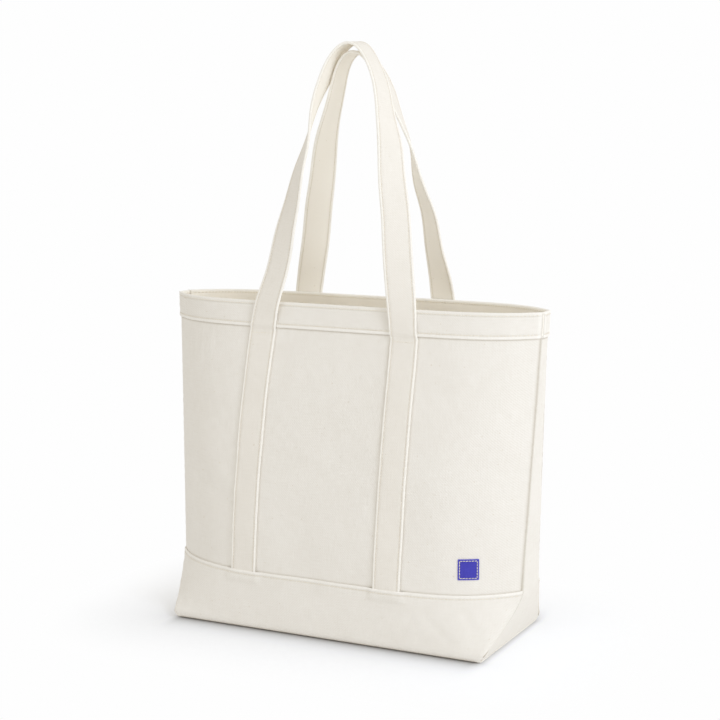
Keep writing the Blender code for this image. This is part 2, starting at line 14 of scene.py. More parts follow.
import bpy
import numpy as np
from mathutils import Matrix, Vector


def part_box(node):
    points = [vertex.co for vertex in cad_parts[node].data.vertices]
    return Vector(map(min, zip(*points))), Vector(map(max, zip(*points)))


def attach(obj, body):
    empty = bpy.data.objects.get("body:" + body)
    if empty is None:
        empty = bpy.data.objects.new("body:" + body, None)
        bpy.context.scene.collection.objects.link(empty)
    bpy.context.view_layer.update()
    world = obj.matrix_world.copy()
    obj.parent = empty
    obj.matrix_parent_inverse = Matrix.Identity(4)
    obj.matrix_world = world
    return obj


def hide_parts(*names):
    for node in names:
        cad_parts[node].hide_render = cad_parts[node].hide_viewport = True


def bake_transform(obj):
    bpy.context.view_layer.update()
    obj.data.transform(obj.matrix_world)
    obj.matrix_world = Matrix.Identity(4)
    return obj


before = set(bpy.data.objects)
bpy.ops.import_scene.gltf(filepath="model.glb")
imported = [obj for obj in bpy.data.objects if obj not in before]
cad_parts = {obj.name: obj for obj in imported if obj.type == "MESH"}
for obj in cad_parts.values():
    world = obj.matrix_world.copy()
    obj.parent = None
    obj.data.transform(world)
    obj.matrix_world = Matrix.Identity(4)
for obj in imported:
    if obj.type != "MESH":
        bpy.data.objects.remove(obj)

LOG = logging.getLogger("tote_bag")
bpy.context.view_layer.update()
WEAVE_MAP = "weave"  # UV map in metres along the cloth
WEAR_AND_HIGHLIGHT_ATTRIBUTE = "worn"  # 1 on folded edges, lightened for rubbing and as a painted highlight; 0 elsewhere
SHADE_AND_DIRT_ATTRIBUTE = "hollow"  # 1 in stitch and seam grooves and beside other pieces: painted shade, with some dirt
INSIDE_PAINTED_LIGHT = "inside"  # 1 on faces that look into the bag or under a strap: painted light, a brighter colour


class Labelled(Enum):
    """Named parts of the bag."""

    @property
    def label(self) -> str:
        """The part's name as the pieces carry it."""
        return self.name.lower()


class Face(Labelled):
    """The two large walls of the bag."""

    FRONT = -1
    BACK = 1


class Side(Labelled):
    """The two narrow sides of the bag."""

    LEFT = -1
    RIGHT = 1


class Weave(Enum):
    """How a cloth is woven."""

    TWILL = "diagonal"
    PLAIN = "square"


# ---------------------------------------------------------------- Curves and noise


def smooth(value: np.ndarray, start: float, end: float) -> np.ndarray:
    """Eased step from 0 at start to 1 at end."""
    share = np.clip((value - start) / (end - start), 0.0, 1.0)
    return share * share * (3 - 2 * share)


def bump(value: np.ndarray, centre: float, width: float) -> np.ndarray:
    """Bell of height 1 at the centre that has faded at about twice the width."""
    return np.exp(-(((value - centre) / width) ** 2))


def unit(vectors: np.ndarray) -> np.ndarray:
    """The same vectors with length 1."""
    return vectors / np.maximum(np.linalg.norm(vectors, axis=-1, keepdims=True), 1e-12)


def travelled(points: np.ndarray) -> np.ndarray:
    """Distance along a line of points, from its first point."""
    steps = np.linalg.norm(np.diff(points, axis=0), axis=1)
    return np.concatenate([[0.0], np.cumsum(steps)])


def softened(values: np.ndarray, reach: int) -> np.ndarray:
    """Values along a line, each averaged with that many neighbours on both sides."""
    window = np.hanning(2 * reach + 1)
    return np.convolve(np.pad(values, reach, "edge"), window / window.sum(), "valid")


def upright(points: np.ndarray, direction: float) -> np.ndarray:
    """Directions straight up (1) or down (-1), one for each point."""
    return np.broadcast_to([0.0, 0.0, direction], points.shape)


@dataclass(frozen=True)
class Spacing:
    """How far apart stations lie: fine at the marks, growing to coarse within the reach."""

    fine: float
    coarse: float
    reach: float

    def stations(self, start: float, end: float, marks: list[float]) -> np.ndarray:
        """Stations from start to end, in order, that crowd together near the marks."""
        line = np.linspace(start, end, 4001)
        near = np.min([np.abs(line - mark) for mark in marks], axis=0)
        step = self.coarse + (self.fine - self.coarse) * np.exp(-((near / self.reach) ** 2))
        middle = (step[1:] + step[:-1]) / 2
        count = np.concatenate([[0.0], np.cumsum(np.diff(line) / middle)])
        return np.interp(np.linspace(0, count[-1], math.ceil(count[-1]) + 1), count, line)


def ripple(position: np.ndarray, wavelength: float, seed: int) -> np.ndarray:
    """Uneven ripple along a line, about -1 to 1.

    Args:
        position: Distance along the line in metres.
        wavelength: Middle wavelength in metres.
        seed: Seed of its phases.

    Returns:
        The ripple at each position.
    """
    random = np.random.default_rng(seed)
    total = np.zeros_like(position)
    for _ in range(6):
        length = wavelength * random.uniform(0.65, 1.9)
        total = total + np.sin(2 * np.pi * position / length + random.uniform(0, 2 * np.pi))
    return total / 2.6


def billow(x: np.ndarray, z: np.ndarray, shortest: float, longest: float, seed: int) -> np.ndarray:
    """Soft uneven swelling of a wall, about -1 to 1.

    Args:
        x: Distance across the wall in metres.
        z: Height in metres.
        shortest: Shortest wavelength in metres.
        longest: Longest wavelength in metres.
        seed: Seed of its directions and phases.

    Returns:
        The swelling at each point.
    """
    random = np.random.default_rng(seed)
    total = np.zeros(np.broadcast(x, z).shape)
    for _ in range(14):
        turn = random.uniform(0, np.pi)
        length = random.uniform(shortest, longest)
        along = x * math.cos(turn) + z * math.sin(turn)
        total = total + np.sin(2 * np.pi * along / length + random.uniform(0, 2 * np.pi))
    return total / 4.5


@dataclass(frozen=True)
class Bell:
    """A rise of height 1 at its centre that has faded at about twice its width."""

    centre: float
    width: float

    def at(self, value: np.ndarray) -> np.ndarray:
        """Its height at a value."""
        return bump(value, self.centre, self.width)


@dataclass(frozen=True)
class Pucker:
    """How cloth gathers beside a row of stitches, less and less away from it."""

    height: float
    wave: float
    reach: float

    def at(self, away: np.ndarray, along: np.ndarray, seed: int) -> np.ndarray:
        """Outward displacement at a distance from the row and a place along it."""
        return self.height * np.exp(-np.abs(away) / self.reach) * ripple(along, self.wave, seed)


FOLD_ROWS = Spacing(0.00045, 0.0026, 0.0022)  # rows of cloth at a folded, stitched edge
FOLD_END = 0.0017  # where the thickness of a folded edge ends
FOLDED_EDGE = Bell(0.0014, 0.0011)  # ridge along a folded edge


# ---------------------------------------------------------------- Shape of the bag


@dataclass(frozen=True)
class Crease:
    """One soft fold pressed into a wall.

    The angle is that of its line from the horizontal, in degrees, and a positive depth is a hollow.
    """

    x: float
    z: float
    angle: float
    length: float
    width: float
    depth: float

    def at(self, x: np.ndarray, z: np.ndarray) -> np.ndarray:
        """Outward displacement at points of the wall, in metres."""
        turn = math.radians(self.angle)
        along = (x - self.x) * math.cos(turn) + (z - self.z) * math.sin(turn)
        away = (z - self.z) * math.cos(turn) - (x - self.x) * math.sin(turn)
        ends = np.exp(-((2 * along / self.length) ** 4))
        hollow = np.exp(-((away / self.width) ** 2))
        shoulder = 0.45 * np.exp(-(((away - 1.9 * self.width) / self.width) ** 2))
        return -self.depth * ends * (hollow - shoulder)


@dataclass(frozen=True)
class BagShape:
    """The canvas body as a smooth surface, with the sizes of the solid model in metres."""

    base_width: float = 0.397
    base_depth: float = 0.1836
    height: float = 0.391
    rim_width: float = 0.479
    rim_depth: float = 0.108
    flare_height: float = 0.071
    flare_width: float = 0.4514
    gusset_rim_width: float = 0.0212
    gusset_flare_width: float = 0.056
    floor_rounding: float = 0.007
    floor_top: float = 0.0022
    flare_sweep: float = 1.43
    seam_sweep: float = 1.50
    gusset_taper: float = 1.30
    lean_power: float = 2.0
    base_squareness: float = 10.0
    flare_squareness: float = 4.8
    rim_squareness: float = 6.0
    canvas: float = 0.0014
    hem_height: float = 0.029
    strap_width: float = 0.034
    foot_spacing: float = 0.1885
    front_foot_shift: float = -0.0108
    front_top_spacing: float = 0.1830
    back_top_spacing: float = 0.191
    back_top_shift: float = -0.005
    strap_bow: float = 0.0024
    cross_stitch_drop: float = 0.005
    step: float = 1e-4

    @property
    def hem_bottom(self) -> float:
        """Height of the hem's lower fold."""
        return self.height - self.hem_height

    @property
    def cross_stitch_height(self) -> float:
        """Height at which the handles come free."""
        return self.hem_bottom - self.cross_stitch_drop

    def rising(self, height: np.ndarray) -> np.ndarray:
        """Share of the way from the flare height to the rim."""
        return np.clip((height - self.flare_height) / (self.height - self.flare_height), 0, 1)

    def half_width(self, height: np.ndarray) -> np.ndarray:
        """Distance of the side seams from the middle plane."""
        share = (height - self.floor_top) / (self.flare_height - self.floor_top)
        swing = 1 - (1 - np.clip(share, 0, 1)) ** self.flare_sweep
        low = self.base_width + (self.flare_width - self.base_width) * swing
        high = self.flare_width + (self.rim_width - self.flare_width) * self.rising(height)
        return np.where(height < self.flare_height, low, high) / 2

    def half_gusset(self, height: np.ndarray) -> np.ndarray:
        """Half the width of the side gusset."""
        foot = self.floor_top + self.floor_rounding
        share = np.clip((height - foot) / (self.flare_height - foot), 0, 1)
        opening = 1 - (1 - share) ** self.seam_sweep
        low = self.base_depth - (self.base_depth - self.gusset_flare_width) * opening
        taper = (1 - self.rising(height)) ** self.gusset_taper
        high = self.gusset_rim_width + (self.gusset_flare_width - self.gusset_rim_width) * taper
        return np.where(height < self.flare_height, low, high) / 2

    def half_depth(self, height: np.ndarray) -> np.ndarray:
        """Distance of front and back from the middle plane, turning under at the floor."""
        lean = self.rising(height) ** self.lean_power
        depth = (self.base_depth - (self.base_depth - self.rim_depth) * lean) / 2
        rise = 1 - np.clip((height - self.floor_top) / self.floor_rounding, 0, 1)
        return depth - self.floor_rounding * (1 - np.sqrt(np.maximum(1 - rise * rise, 0)))

    def squareness(self, height: np.ndarray) -> np.ndarray:
        """Exponent of the plan outline."""
        share = np.clip((height - self.floor_top) / (self.flare_height - self.floor_top), 0, 1)
        low = self.base_squareness + (self.flare_squareness - self.base_squareness) * share
        high = self.flare_squareness
        high = high + (self.rim_squareness - self.flare_squareness) * self.rising(height)
        return np.where(height < self.flare_height, low, high)

    def wall_height(self, girth: np.ndarray) -> np.ndarray:
        """Height of a point of a wall, with girth measured up from the rounded edge."""
        foot = self.floor_top + self.floor_rounding
        turn = np.clip(-girth / self.floor_rounding, 0, np.pi / 2)
        return np.where(girth >= 0, foot + girth, foot - self.floor_rounding * np.sin(turn))

    def girth_at(self, height: np.ndarray) -> np.ndarray:
        """The inverse of wall_height above the rounded edge."""
        return height - self.floor_top - self.floor_rounding

    def wall(self, face: Face, across: np.ndarray, girth: np.ndarray) -> np.ndarray:
        """Point on the plain outer face of a wall, across from -1 to 1 between the seams."""
        height = self.wall_height(girth)
        depth = self.half_depth(height)
        seam = np.minimum(self.half_gusset(height), depth)
        bulge = 1 - np.abs(across) ** self.squareness(height)
        y = face.value * (seam + (depth - seam) * bulge)
        return np.stack(np.broadcast_arrays(across * self.half_width(height), y, height), -1)

    def wall_normal(self, face: Face, across: np.ndarray, girth: np.ndarray) -> np.ndarray:
        """Outward direction of a wall."""
        lowest = -self.floor_rounding * math.pi / 2
        low = np.maximum(girth - self.step, lowest)
        along = self.wall(face, across + self.step, girth) - self.wall(
            face, across - self.step, girth)
        up = self.wall(face, across, girth + self.step) - self.wall(face, across, low)
        return unit(np.cross(along, up)) * -face.value

    def strap_centre(self, face: Face, side: Side, height: np.ndarray) -> np.ndarray:
        """Distance of a strap's centre line from the middle plane."""
        climb = self.cross_stitch_height - self.flare_height
        share = (height - self.flare_height) / climb
        foot = side.value * self.foot_spacing / 2
        if face is Face.FRONT:
            foot, top = foot + self.front_foot_shift, side.value * self.front_top_spacing / 2
        else:
            top = side.value * self.back_top_spacing / 2 + self.back_top_shift
        bow = side.value * self.strap_bow * share * (1 - share ** 3)
        return foot + (top - foot) * share + bow


FRONT_CREASES = (
    Crease(0.192, 0.327, 38.0, 0.034, 0.0042, 0.0009),
    Crease(0.176, 0.305, 52.0, 0.050, 0.0070, 0.0006),
    Crease(-0.188, 0.338, 86.0, 0.034, 0.0030, 0.0004),
    Crease(-0.176, 0.335, 92.0, 0.040, 0.0028, 0.0004),
    Crease(-0.158, 0.340, 95.0, 0.030, 0.0034, 0.0004),
    Crease(-0.205, 0.300, 78.0, 0.070, 0.0060, 0.0006),
    Crease(0.030, 0.205, 12.0, 0.110, 0.0140, 0.0006),
    Crease(-0.150, 0.160, -24.0, 0.090, 0.0110, 0.0006),
    Crease(0.150, 0.030, -42.0, 0.060, 0.0060, 0.0008),
    Crease(0.182, 0.040, -62.0, 0.050, 0.0050, 0.0008),
    Crease(-0.165, 0.036, 40.0, 0.046, 0.0060, 0.0005),
)
BACK_CREASES = (
    Crease(-0.190, 0.318, -44.0, 0.046, 0.0052, 0.0008),
    Crease(0.180, 0.330, 94.0, 0.040, 0.0034, 0.0004),
    Crease(-0.040, 0.220, -14.0, 0.120, 0.0130, 0.0006),
    Crease(0.140, 0.150, 28.0, 0.090, 0.0110, 0.0006),
    Crease(-0.170, 0.034, 50.0, 0.056, 0.0056, 0.0008),
    Crease(0.175, 0.038, -48.0, 0.044, 0.0050, 0.0006),
)


@dataclass(frozen=True)
class ClothBody:
    """The body's surface as sewn cloth: the plain shape with swelling, puckers and creases."""

    shape: BagShape
    swelling: float = 0.0007
    swelling_waves: tuple[float, float] = (0.06, 0.17)
    seam_hold: float = 0.045
    floor_hold: float = 0.05
    rim_hold: float = 0.6
    rim_span: tuple[float, float] = (0.33, 0.38)
    crumple: float = 0.00012
    crumple_waves: tuple[float, float] = (0.012, 0.03)
    crumple_hold: float = 0.01
    hem_pucker: Pucker = Pucker(0.00016, 0.0085, 0.011)
    band_pucker: Pucker = Pucker(0.00016, 0.0095, 0.009)
    strap_pucker: Pucker = Pucker(0.00016 * 0.8, 0.009, 0.0055)
    seam_pucker: Pucker = Pucker(0.00022, 0.010, 0.009)
    strap_start: tuple[float, float] = (0.060, 0.075)
    strap_end: tuple[float, float] = (0.350, 0.358)
    crease_hold: float = 0.012
    seam_shade: float = 0.002
    groove: float = 0.0021
    groove_width: float = 0.0021
    standing_height: float = 0.016
    # Painted shade lines lie this far from the hem, band and strap edges
    contact: float = 0.0010
    contact_width: float = 0.0013

    def strap_edge(self, face: Face, x: np.ndarray, z: np.ndarray) -> np.ndarray:
        """Distance to the nearest strap's edge, negative under the strap."""
        away = [np.abs(x - self.shape.strap_centre(face, side, z)) for side in Side]
        return np.minimum(away[0], away[1]) - self.shape.strap_width / 2

    def relief(self, face: Face, x: np.ndarray, z: np.ndarray) -> np.ndarray:
        """Outward displacement of all cloth that lies on a wall.

        Args:
            face: Front or back.
            x: Distance from the middle plane.
            z: Height above the floor.

        Returns:
            Displacement in metres.
        """
        shape = self.shape
        seed = 11 if face is Face.FRONT else 47
        from_seam = shape.half_width(z) - np.abs(x)
        free = smooth(from_seam, 0.0, self.seam_hold) * smooth(z, 0.0, self.floor_hold)
        free = free * (1 - self.rim_hold * smooth(z, *self.rim_span))
        total = self.swelling * free * billow(x, z, *self.swelling_waves, seed)
        total = total + self.crumple * smooth(from_seam, 0.0, self.crumple_hold) * billow(
            x, z, *self.crumple_waves, seed + 1)
        total = total + self.hem_pucker.at(z - shape.hem_bottom, x, seed + 2)
        total = total + self.band_pucker.at(z - shape.flare_height, x, seed + 3)
        held = smooth(z, *self.strap_start) * (1 - smooth(z, *self.strap_end))
        total = total + held * self.strap_pucker.at(self.strap_edge(face, x, z), z, seed + 4)
        total = total + np.where(x > 0, self.seam_pucker.at(from_seam, z, seed + 5),
                                 self.seam_pucker.at(from_seam, z, seed + 6))
        for crease in FRONT_CREASES if face is Face.FRONT else BACK_CREASES:
            total = total + crease.at(x, z) * smooth(from_seam, 0.0, self.crease_hold)
        return total * smooth(z, 0.0, self.standing_height)

    def shade_lines(self, face: Face, x: np.ndarray, z: np.ndarray) -> np.ndarray:
        """Painted shade with some dirt along the seams, the straps, the hem and the band."""
        shape = self.shape
        from_seam = shape.half_width(z) - np.abs(x)
        hem = 0.8 * bump(shape.hem_bottom - z, self.contact, self.contact_width)
        band = bump(z - shape.flare_height, self.contact, self.contact_width)
        strap = bump(self.strap_edge(face, x, z), self.contact * 0.6, self.contact_width)
        seam = bump(from_seam, 0.0, self.seam_shade)
        return np.maximum.reduce([seam, hem, 0.4 * strap, 0.5 * band])

    def seam_dip(self, from_seam: np.ndarray) -> np.ndarray:
        """How far cloth is drawn in beside a seam."""
        return self.groove * np.exp(-((np.maximum(from_seam, 0) / self.groove_width) ** 1.6))

    def on_wall(self, face: Face, across: np.ndarray, girth: np.ndarray,
                offset: np.ndarray | float) -> tuple[np.ndarray, np.ndarray]:
        """Points on the cloth of a wall and its outward directions.

        Args:
            face: Front or back.
            across: Place between the seams, from -1 to 1.
            girth: Distance up from the rounded bottom edge.
            offset: Distance outwards from the outer face of the canvas.

        Returns:
            Points and unit directions.
        """
        plain = self.shape.wall(face, across, girth)
        normal = self.shape.wall_normal(face, across, girth)
        lift = self.relief(face, plain[..., 0], plain[..., 2]) + offset
        return plain + normal * lift[..., None], normal

    def at_height(self, face: Face, x: np.ndarray, z: np.ndarray,
                  offset: np.ndarray | float) -> tuple[np.ndarray, np.ndarray]:
        """The same, found by the distance from the middle plane and the height."""
        x, z = np.broadcast_arrays(x, z)
        across = x / self.shape.half_width(z)
        return self.on_wall(face, across, self.shape.girth_at(z), offset)


# ---------------------------------------------------------------- Closed sheets of cloth


@dataclass
class Sheet:
    """A closed sheet of cloth with rounded edges, from a grid of middle points.

    Weave is the place of each point on the flat cloth. Outer and inner are the distances of its
    two faces from the middle. The edge values say where folds are lightened, for rubbing and as a
    painted highlight, hollow says where grooves and edges get painted shade with some dirt, and
    turned_in is 1 where its outer face looks into the bag and gets painted light.
    """

    name: str
    middle: np.ndarray
    normal: np.ndarray
    weave: np.ndarray
    outer: np.ndarray | float
    inner: np.ndarray | float
    worn: np.ndarray | float = 0.0
    hollow: np.ndarray | float = 0.0
    turned_in: np.ndarray | float = 0.0
    edge_steps: int = 4

    def __post_init__(self) -> None:
        """Spreads single numbers over the whole grid."""
        for key in ("outer", "inner", "worn", "hollow", "turned_in"):
            setattr(self, key, np.broadcast_to(getattr(self, key), self.middle.shape[:2]))

    def rim(self) -> np.ndarray:
        """Grid places around the border, in order."""
        rows, columns = self.middle.shape[:2]
        last_row, last_column = rows - 1, columns - 1
        places = [(0, c) for c in range(columns)]
        places += [(r, last_column) for r in range(1, rows)]
        places += [(last_row, c) for c in range(last_column - 1, -1, -1)]
        places += [(r, 0) for r in range(last_row - 1, 0, -1)]
        return np.array(places)

    def outwards(self, rim: np.ndarray) -> np.ndarray:
        """Direction out of the sheet at each place of the border."""
        rows, columns = self.middle.shape[:2]
        row, column = rim[:, 0], rim[:, 1]
        here = self.middle[row, column]
        across = here - self.middle[np.clip(row, 1, rows - 2), column]
        along = here - self.middle[row, np.clip(column, 1, columns - 2)]
        return unit(unit(across) + unit(along))

    def build(self) -> bpy.types.Object:
        """Makes the sheet's mesh and object."""
        rows, columns = self.middle.shape[:2]
        count = rows * columns
        rim = self.rim()
        row, column = rim[:, 0], rim[:, 1]
        flat = np.arange(count).reshape(rows, columns)
        border = flat[row, column]
        out = self.outwards(rim)
        outer, inner = self.outer[row, column], self.inner[row, column]
        points = [
            (self.middle + self.normal * self.outer[..., None]).reshape(-1, 3),
            (self.middle - self.normal * self.inner[..., None]).reshape(-1, 3),
        ]
        rings = [border]
        for index in range(1, self.edge_steps):
            turn = math.pi * index / self.edge_steps
            drop = np.where(math.cos(turn) > 0, outer, inner) * math.cos(turn)
            reach = (outer + inner) / 2 * math.sin(turn)
            here = self.middle[row, column] + self.normal[row, column] * drop[:, None]
            points.append(here + out * reach[:, None])
            rings.append(2 * count + (index - 1) * len(rim) + np.arange(len(rim)))
        rings.append(border + count)
        top = [flat[:-1, :-1], flat[:-1, 1:], flat[1:, 1:], flat[1:, :-1]]
        quads = [np.stack([part.ravel() for part in top], 1)]
        quads.append(quads[0][:, ::-1] + count)
        for upper, lower in zip(rings, rings[1:]):
            quads.append(np.stack([np.roll(upper, -1), upper, lower, np.roll(lower, -1)], 1))
        repeat = self.edge_steps - 1
        values = {
            name: np.concatenate([grid.ravel(), grid.ravel(), np.tile(grid[row, column], repeat)])
            for name, grid in ((WEAR_AND_HIGHLIGHT_ATTRIBUTE, self.worn), (SHADE_AND_DIRT_ATTRIBUTE, self.hollow))
        }
        shares = np.arange(1, self.edge_steps) / self.edge_steps
        edges = [self.turned_in[row, column] * (1 - share) + share for share in shares]
        # The inner face and the rounded edges get painted light as well
        values[INSIDE_PAINTED_LIGHT] = np.concatenate([self.turned_in.ravel(), np.ones(count), *edges])
        flat_weave = self.weave.reshape(-1, 2)
        weave = [flat_weave, flat_weave] + [flat_weave[border]] * repeat
        return make_object(self.name, np.concatenate(points), np.concatenate(quads),
                           np.concatenate(weave), values)


def linked(name: str, data: bpy.types.ID) -> bpy.types.Object:
    """A new object in the scene."""
    item = bpy.data.objects.new(name, data)
    bpy.context.scene.collection.objects.link(item)
    return item


def make_object(name: str, points: np.ndarray, quads: np.ndarray, weave: np.ndarray,
                values: dict[str, np.ndarray]) -> bpy.types.Object:
    """Makes an object whose faces point outwards.

    Args:
        name: Name of the piece.
        points: Its points.
        quads: Four point numbers for each face, all turned the same way.
        weave: Place of each point on the flat cloth, in metres.
        values: Further numbers for each point, by attribute name.

    Returns:
        The linked object.
    """
    a, b, c, d = (points[quads[:, corner]] for corner in range(4))
    volume = np.sum(a * np.cross(b, c)) + np.sum(a * np.cross(c, d))
    if volume < 0:
        quads = quads[:, ::-1]
    mesh = bpy.data.meshes.new(name)
    mesh.vertices.add(len(points))
    mesh.vertices.foreach_set("co", points.astype(np.float32).ravel())
    mesh.loops.add(quads.size)
    mesh.loops.foreach_set("vertex_index", quads.astype(np.int32).ravel())
    mesh.polygons.add(len(quads))
    mesh.polygons.foreach_set("loop_start", np.arange(0, quads.size, 4, dtype=np.int32))
    mesh.update(calc_edges=True)
    layer = mesh.uv_layers.new(name=WEAVE_MAP)
    layer.uv.foreach_set("vector", weave[quads.ravel()].astype(np.float32).ravel())
    for key, value in values.items():
        attribute = mesh.attributes.new(key, "FLOAT", "POINT")
        attribute.data.foreach_set("value", value.astype(np.float32))
    mesh.shade_smooth()
    return linked(name, mesh)


# ---------------------------------------------------------------- Nodes

Socket = bpy.types.NodeSocket


def linear(code: str) -> tuple[float, float, float, float]:
    """An sRGB hex colour as the linear colour that nodes take."""
    parts = [int(code[index:index + 2], 16) / 255 for index in (1, 3, 5)]
    curve = [p / 12.92 if p <= 0.04045 else ((p + 0.055) / 1.055) ** 2.4 for p in parts]
    return (curve[0], curve[1], curve[2], 1.0)


@dataclass(frozen=True)
class Nodes:
    """Adds nodes to one tree."""

    tree: bpy.types.NodeTree

    @classmethod
    def cleared(cls, owner: bpy.types.Material | bpy.types.World) -> "Nodes":
        """The emptied node tree of a material or a world."""
        owner.use_nodes = True
        owner.node_tree.nodes.clear()
        return cls(owner.node_tree)

    def node(self, kind: str, inputs: dict | None = None, **settings) -> bpy.types.Node:
        """Adds a node with its settings and links.

        Args:
            kind: Node type.
            inputs: A value or an output socket for each input, by name or number.
            **settings: Properties of the node.

        Returns:
            The node.
        """
        node = self.tree.nodes.new(kind)
        for key, value in settings.items():
            setattr(node, key, value)
        for key, value in (inputs or {}).items():
            if isinstance(value, Socket):
                self.tree.links.new(value, node.inputs[key])
            else:
                node.inputs[key].default_value = value
        return node

    def add(self, kind: str, inputs: dict | None = None, out: int | str = 0,
            **settings) -> Socket:
        """Adds a node and gives the output with that name or number."""
        return self.node(kind, inputs, **settings).outputs[out]

    def math(self, operation: str, *values: float | Socket, clamp: bool = False) -> Socket:
        """Adds a maths node."""
        return self.add("ShaderNodeMath", dict(enumerate(values)), operation=operation,
                        use_clamp=clamp)

    def weighted(self, start: float | Socket, *terms: tuple[Socket, float]) -> Socket:
        """Adds to the start each term's value times its weight."""
        for value, weight in terms:
            start = self.math("MULTIPLY_ADD", value, weight, start)
        return start

    def remap(self, value: Socket, low: float, high: float, first: float = 0.0,
              last: float = 1.0, curve: str = "LINEAR") -> Socket:
        """Leads a value between low and high over to the range from first to last."""
        return self.add("ShaderNodeMapRange", {
            "Value": value, "From Min": low, "From Max": high, "To Min": first, "To Max": last,
        }, "Result", interpolation_type=curve)

    def tint(self, factor: Socket, base: str | Socket, top: str | Socket) -> Socket:
        """Mixes two colours, each a hex code or an output."""
        base, top = (linear(each) if isinstance(each, str) else each for each in (base, top))
        return self.add("ShaderNodeMix", {"Factor": factor, 6: base, 7: top}, 2,
                        data_type="RGBA")

    def noise(self, place: Socket, size: float, detail: float, roughness: float = 0.5) -> Socket:
        """Noise with spots of about that size in metres."""
        return self.add("ShaderNodeTexNoise", {"Vector": place, "Scale": 1 / size,
                        "Detail": detail, "Roughness": roughness}, "Fac")

    def attribute(self, name: str) -> Socket:
        """Reads a number that each point of the cloth carries."""
        return self.add("ShaderNodeAttribute", None, "Fac", attribute_name=name)

    def bumped(self, height: Socket, distance: float) -> Socket:
        """Surface direction with a fine relief of that depth in metres."""
        return self.add("ShaderNodeBump", {"Height": height, "Strength": 1.0,
                        "Distance": distance}, "Normal")

    def mix(self, factor: Socket, first: Socket, second: Socket) -> Socket:
        """Mixes two shaders."""
        return self.add("ShaderNodeMixShader", {0: factor, 1: first, 2: second})

    def diffuse(self, code: str) -> Socket:
        """A plain matt shader."""
        return self.add("ShaderNodeBsdfDiffuse", {"Color": linear(code)})

    def emission(self, code: str, strength: float) -> Socket:
        """A plain glowing shader."""
        return self.add("ShaderNodeEmission", {"Color": linear(code), "Strength": strength})

    def surroundings_seen(self) -> Socket:
        """One for rays that show the surroundings straight, in a gloss or through glass."""
        path = self.node("ShaderNodeLightPath").outputs
        seen = self.math("ADD", path["Is Camera Ray"], path["Is Glossy Ray"])
        return self.math("ADD", seen, path["Is Transmission Ray"], clamp=True)


# ---------------------------------------------------------------- Finishes


class Slot(Enum):
    """The record's material slots."""

    CANVAS = "natural_canvas"
    STRAP = "strap_canvas"
    TAPE = "binding_tape"
    THREAD = "ecru_thread"
    BLUE = "blue_cloth"


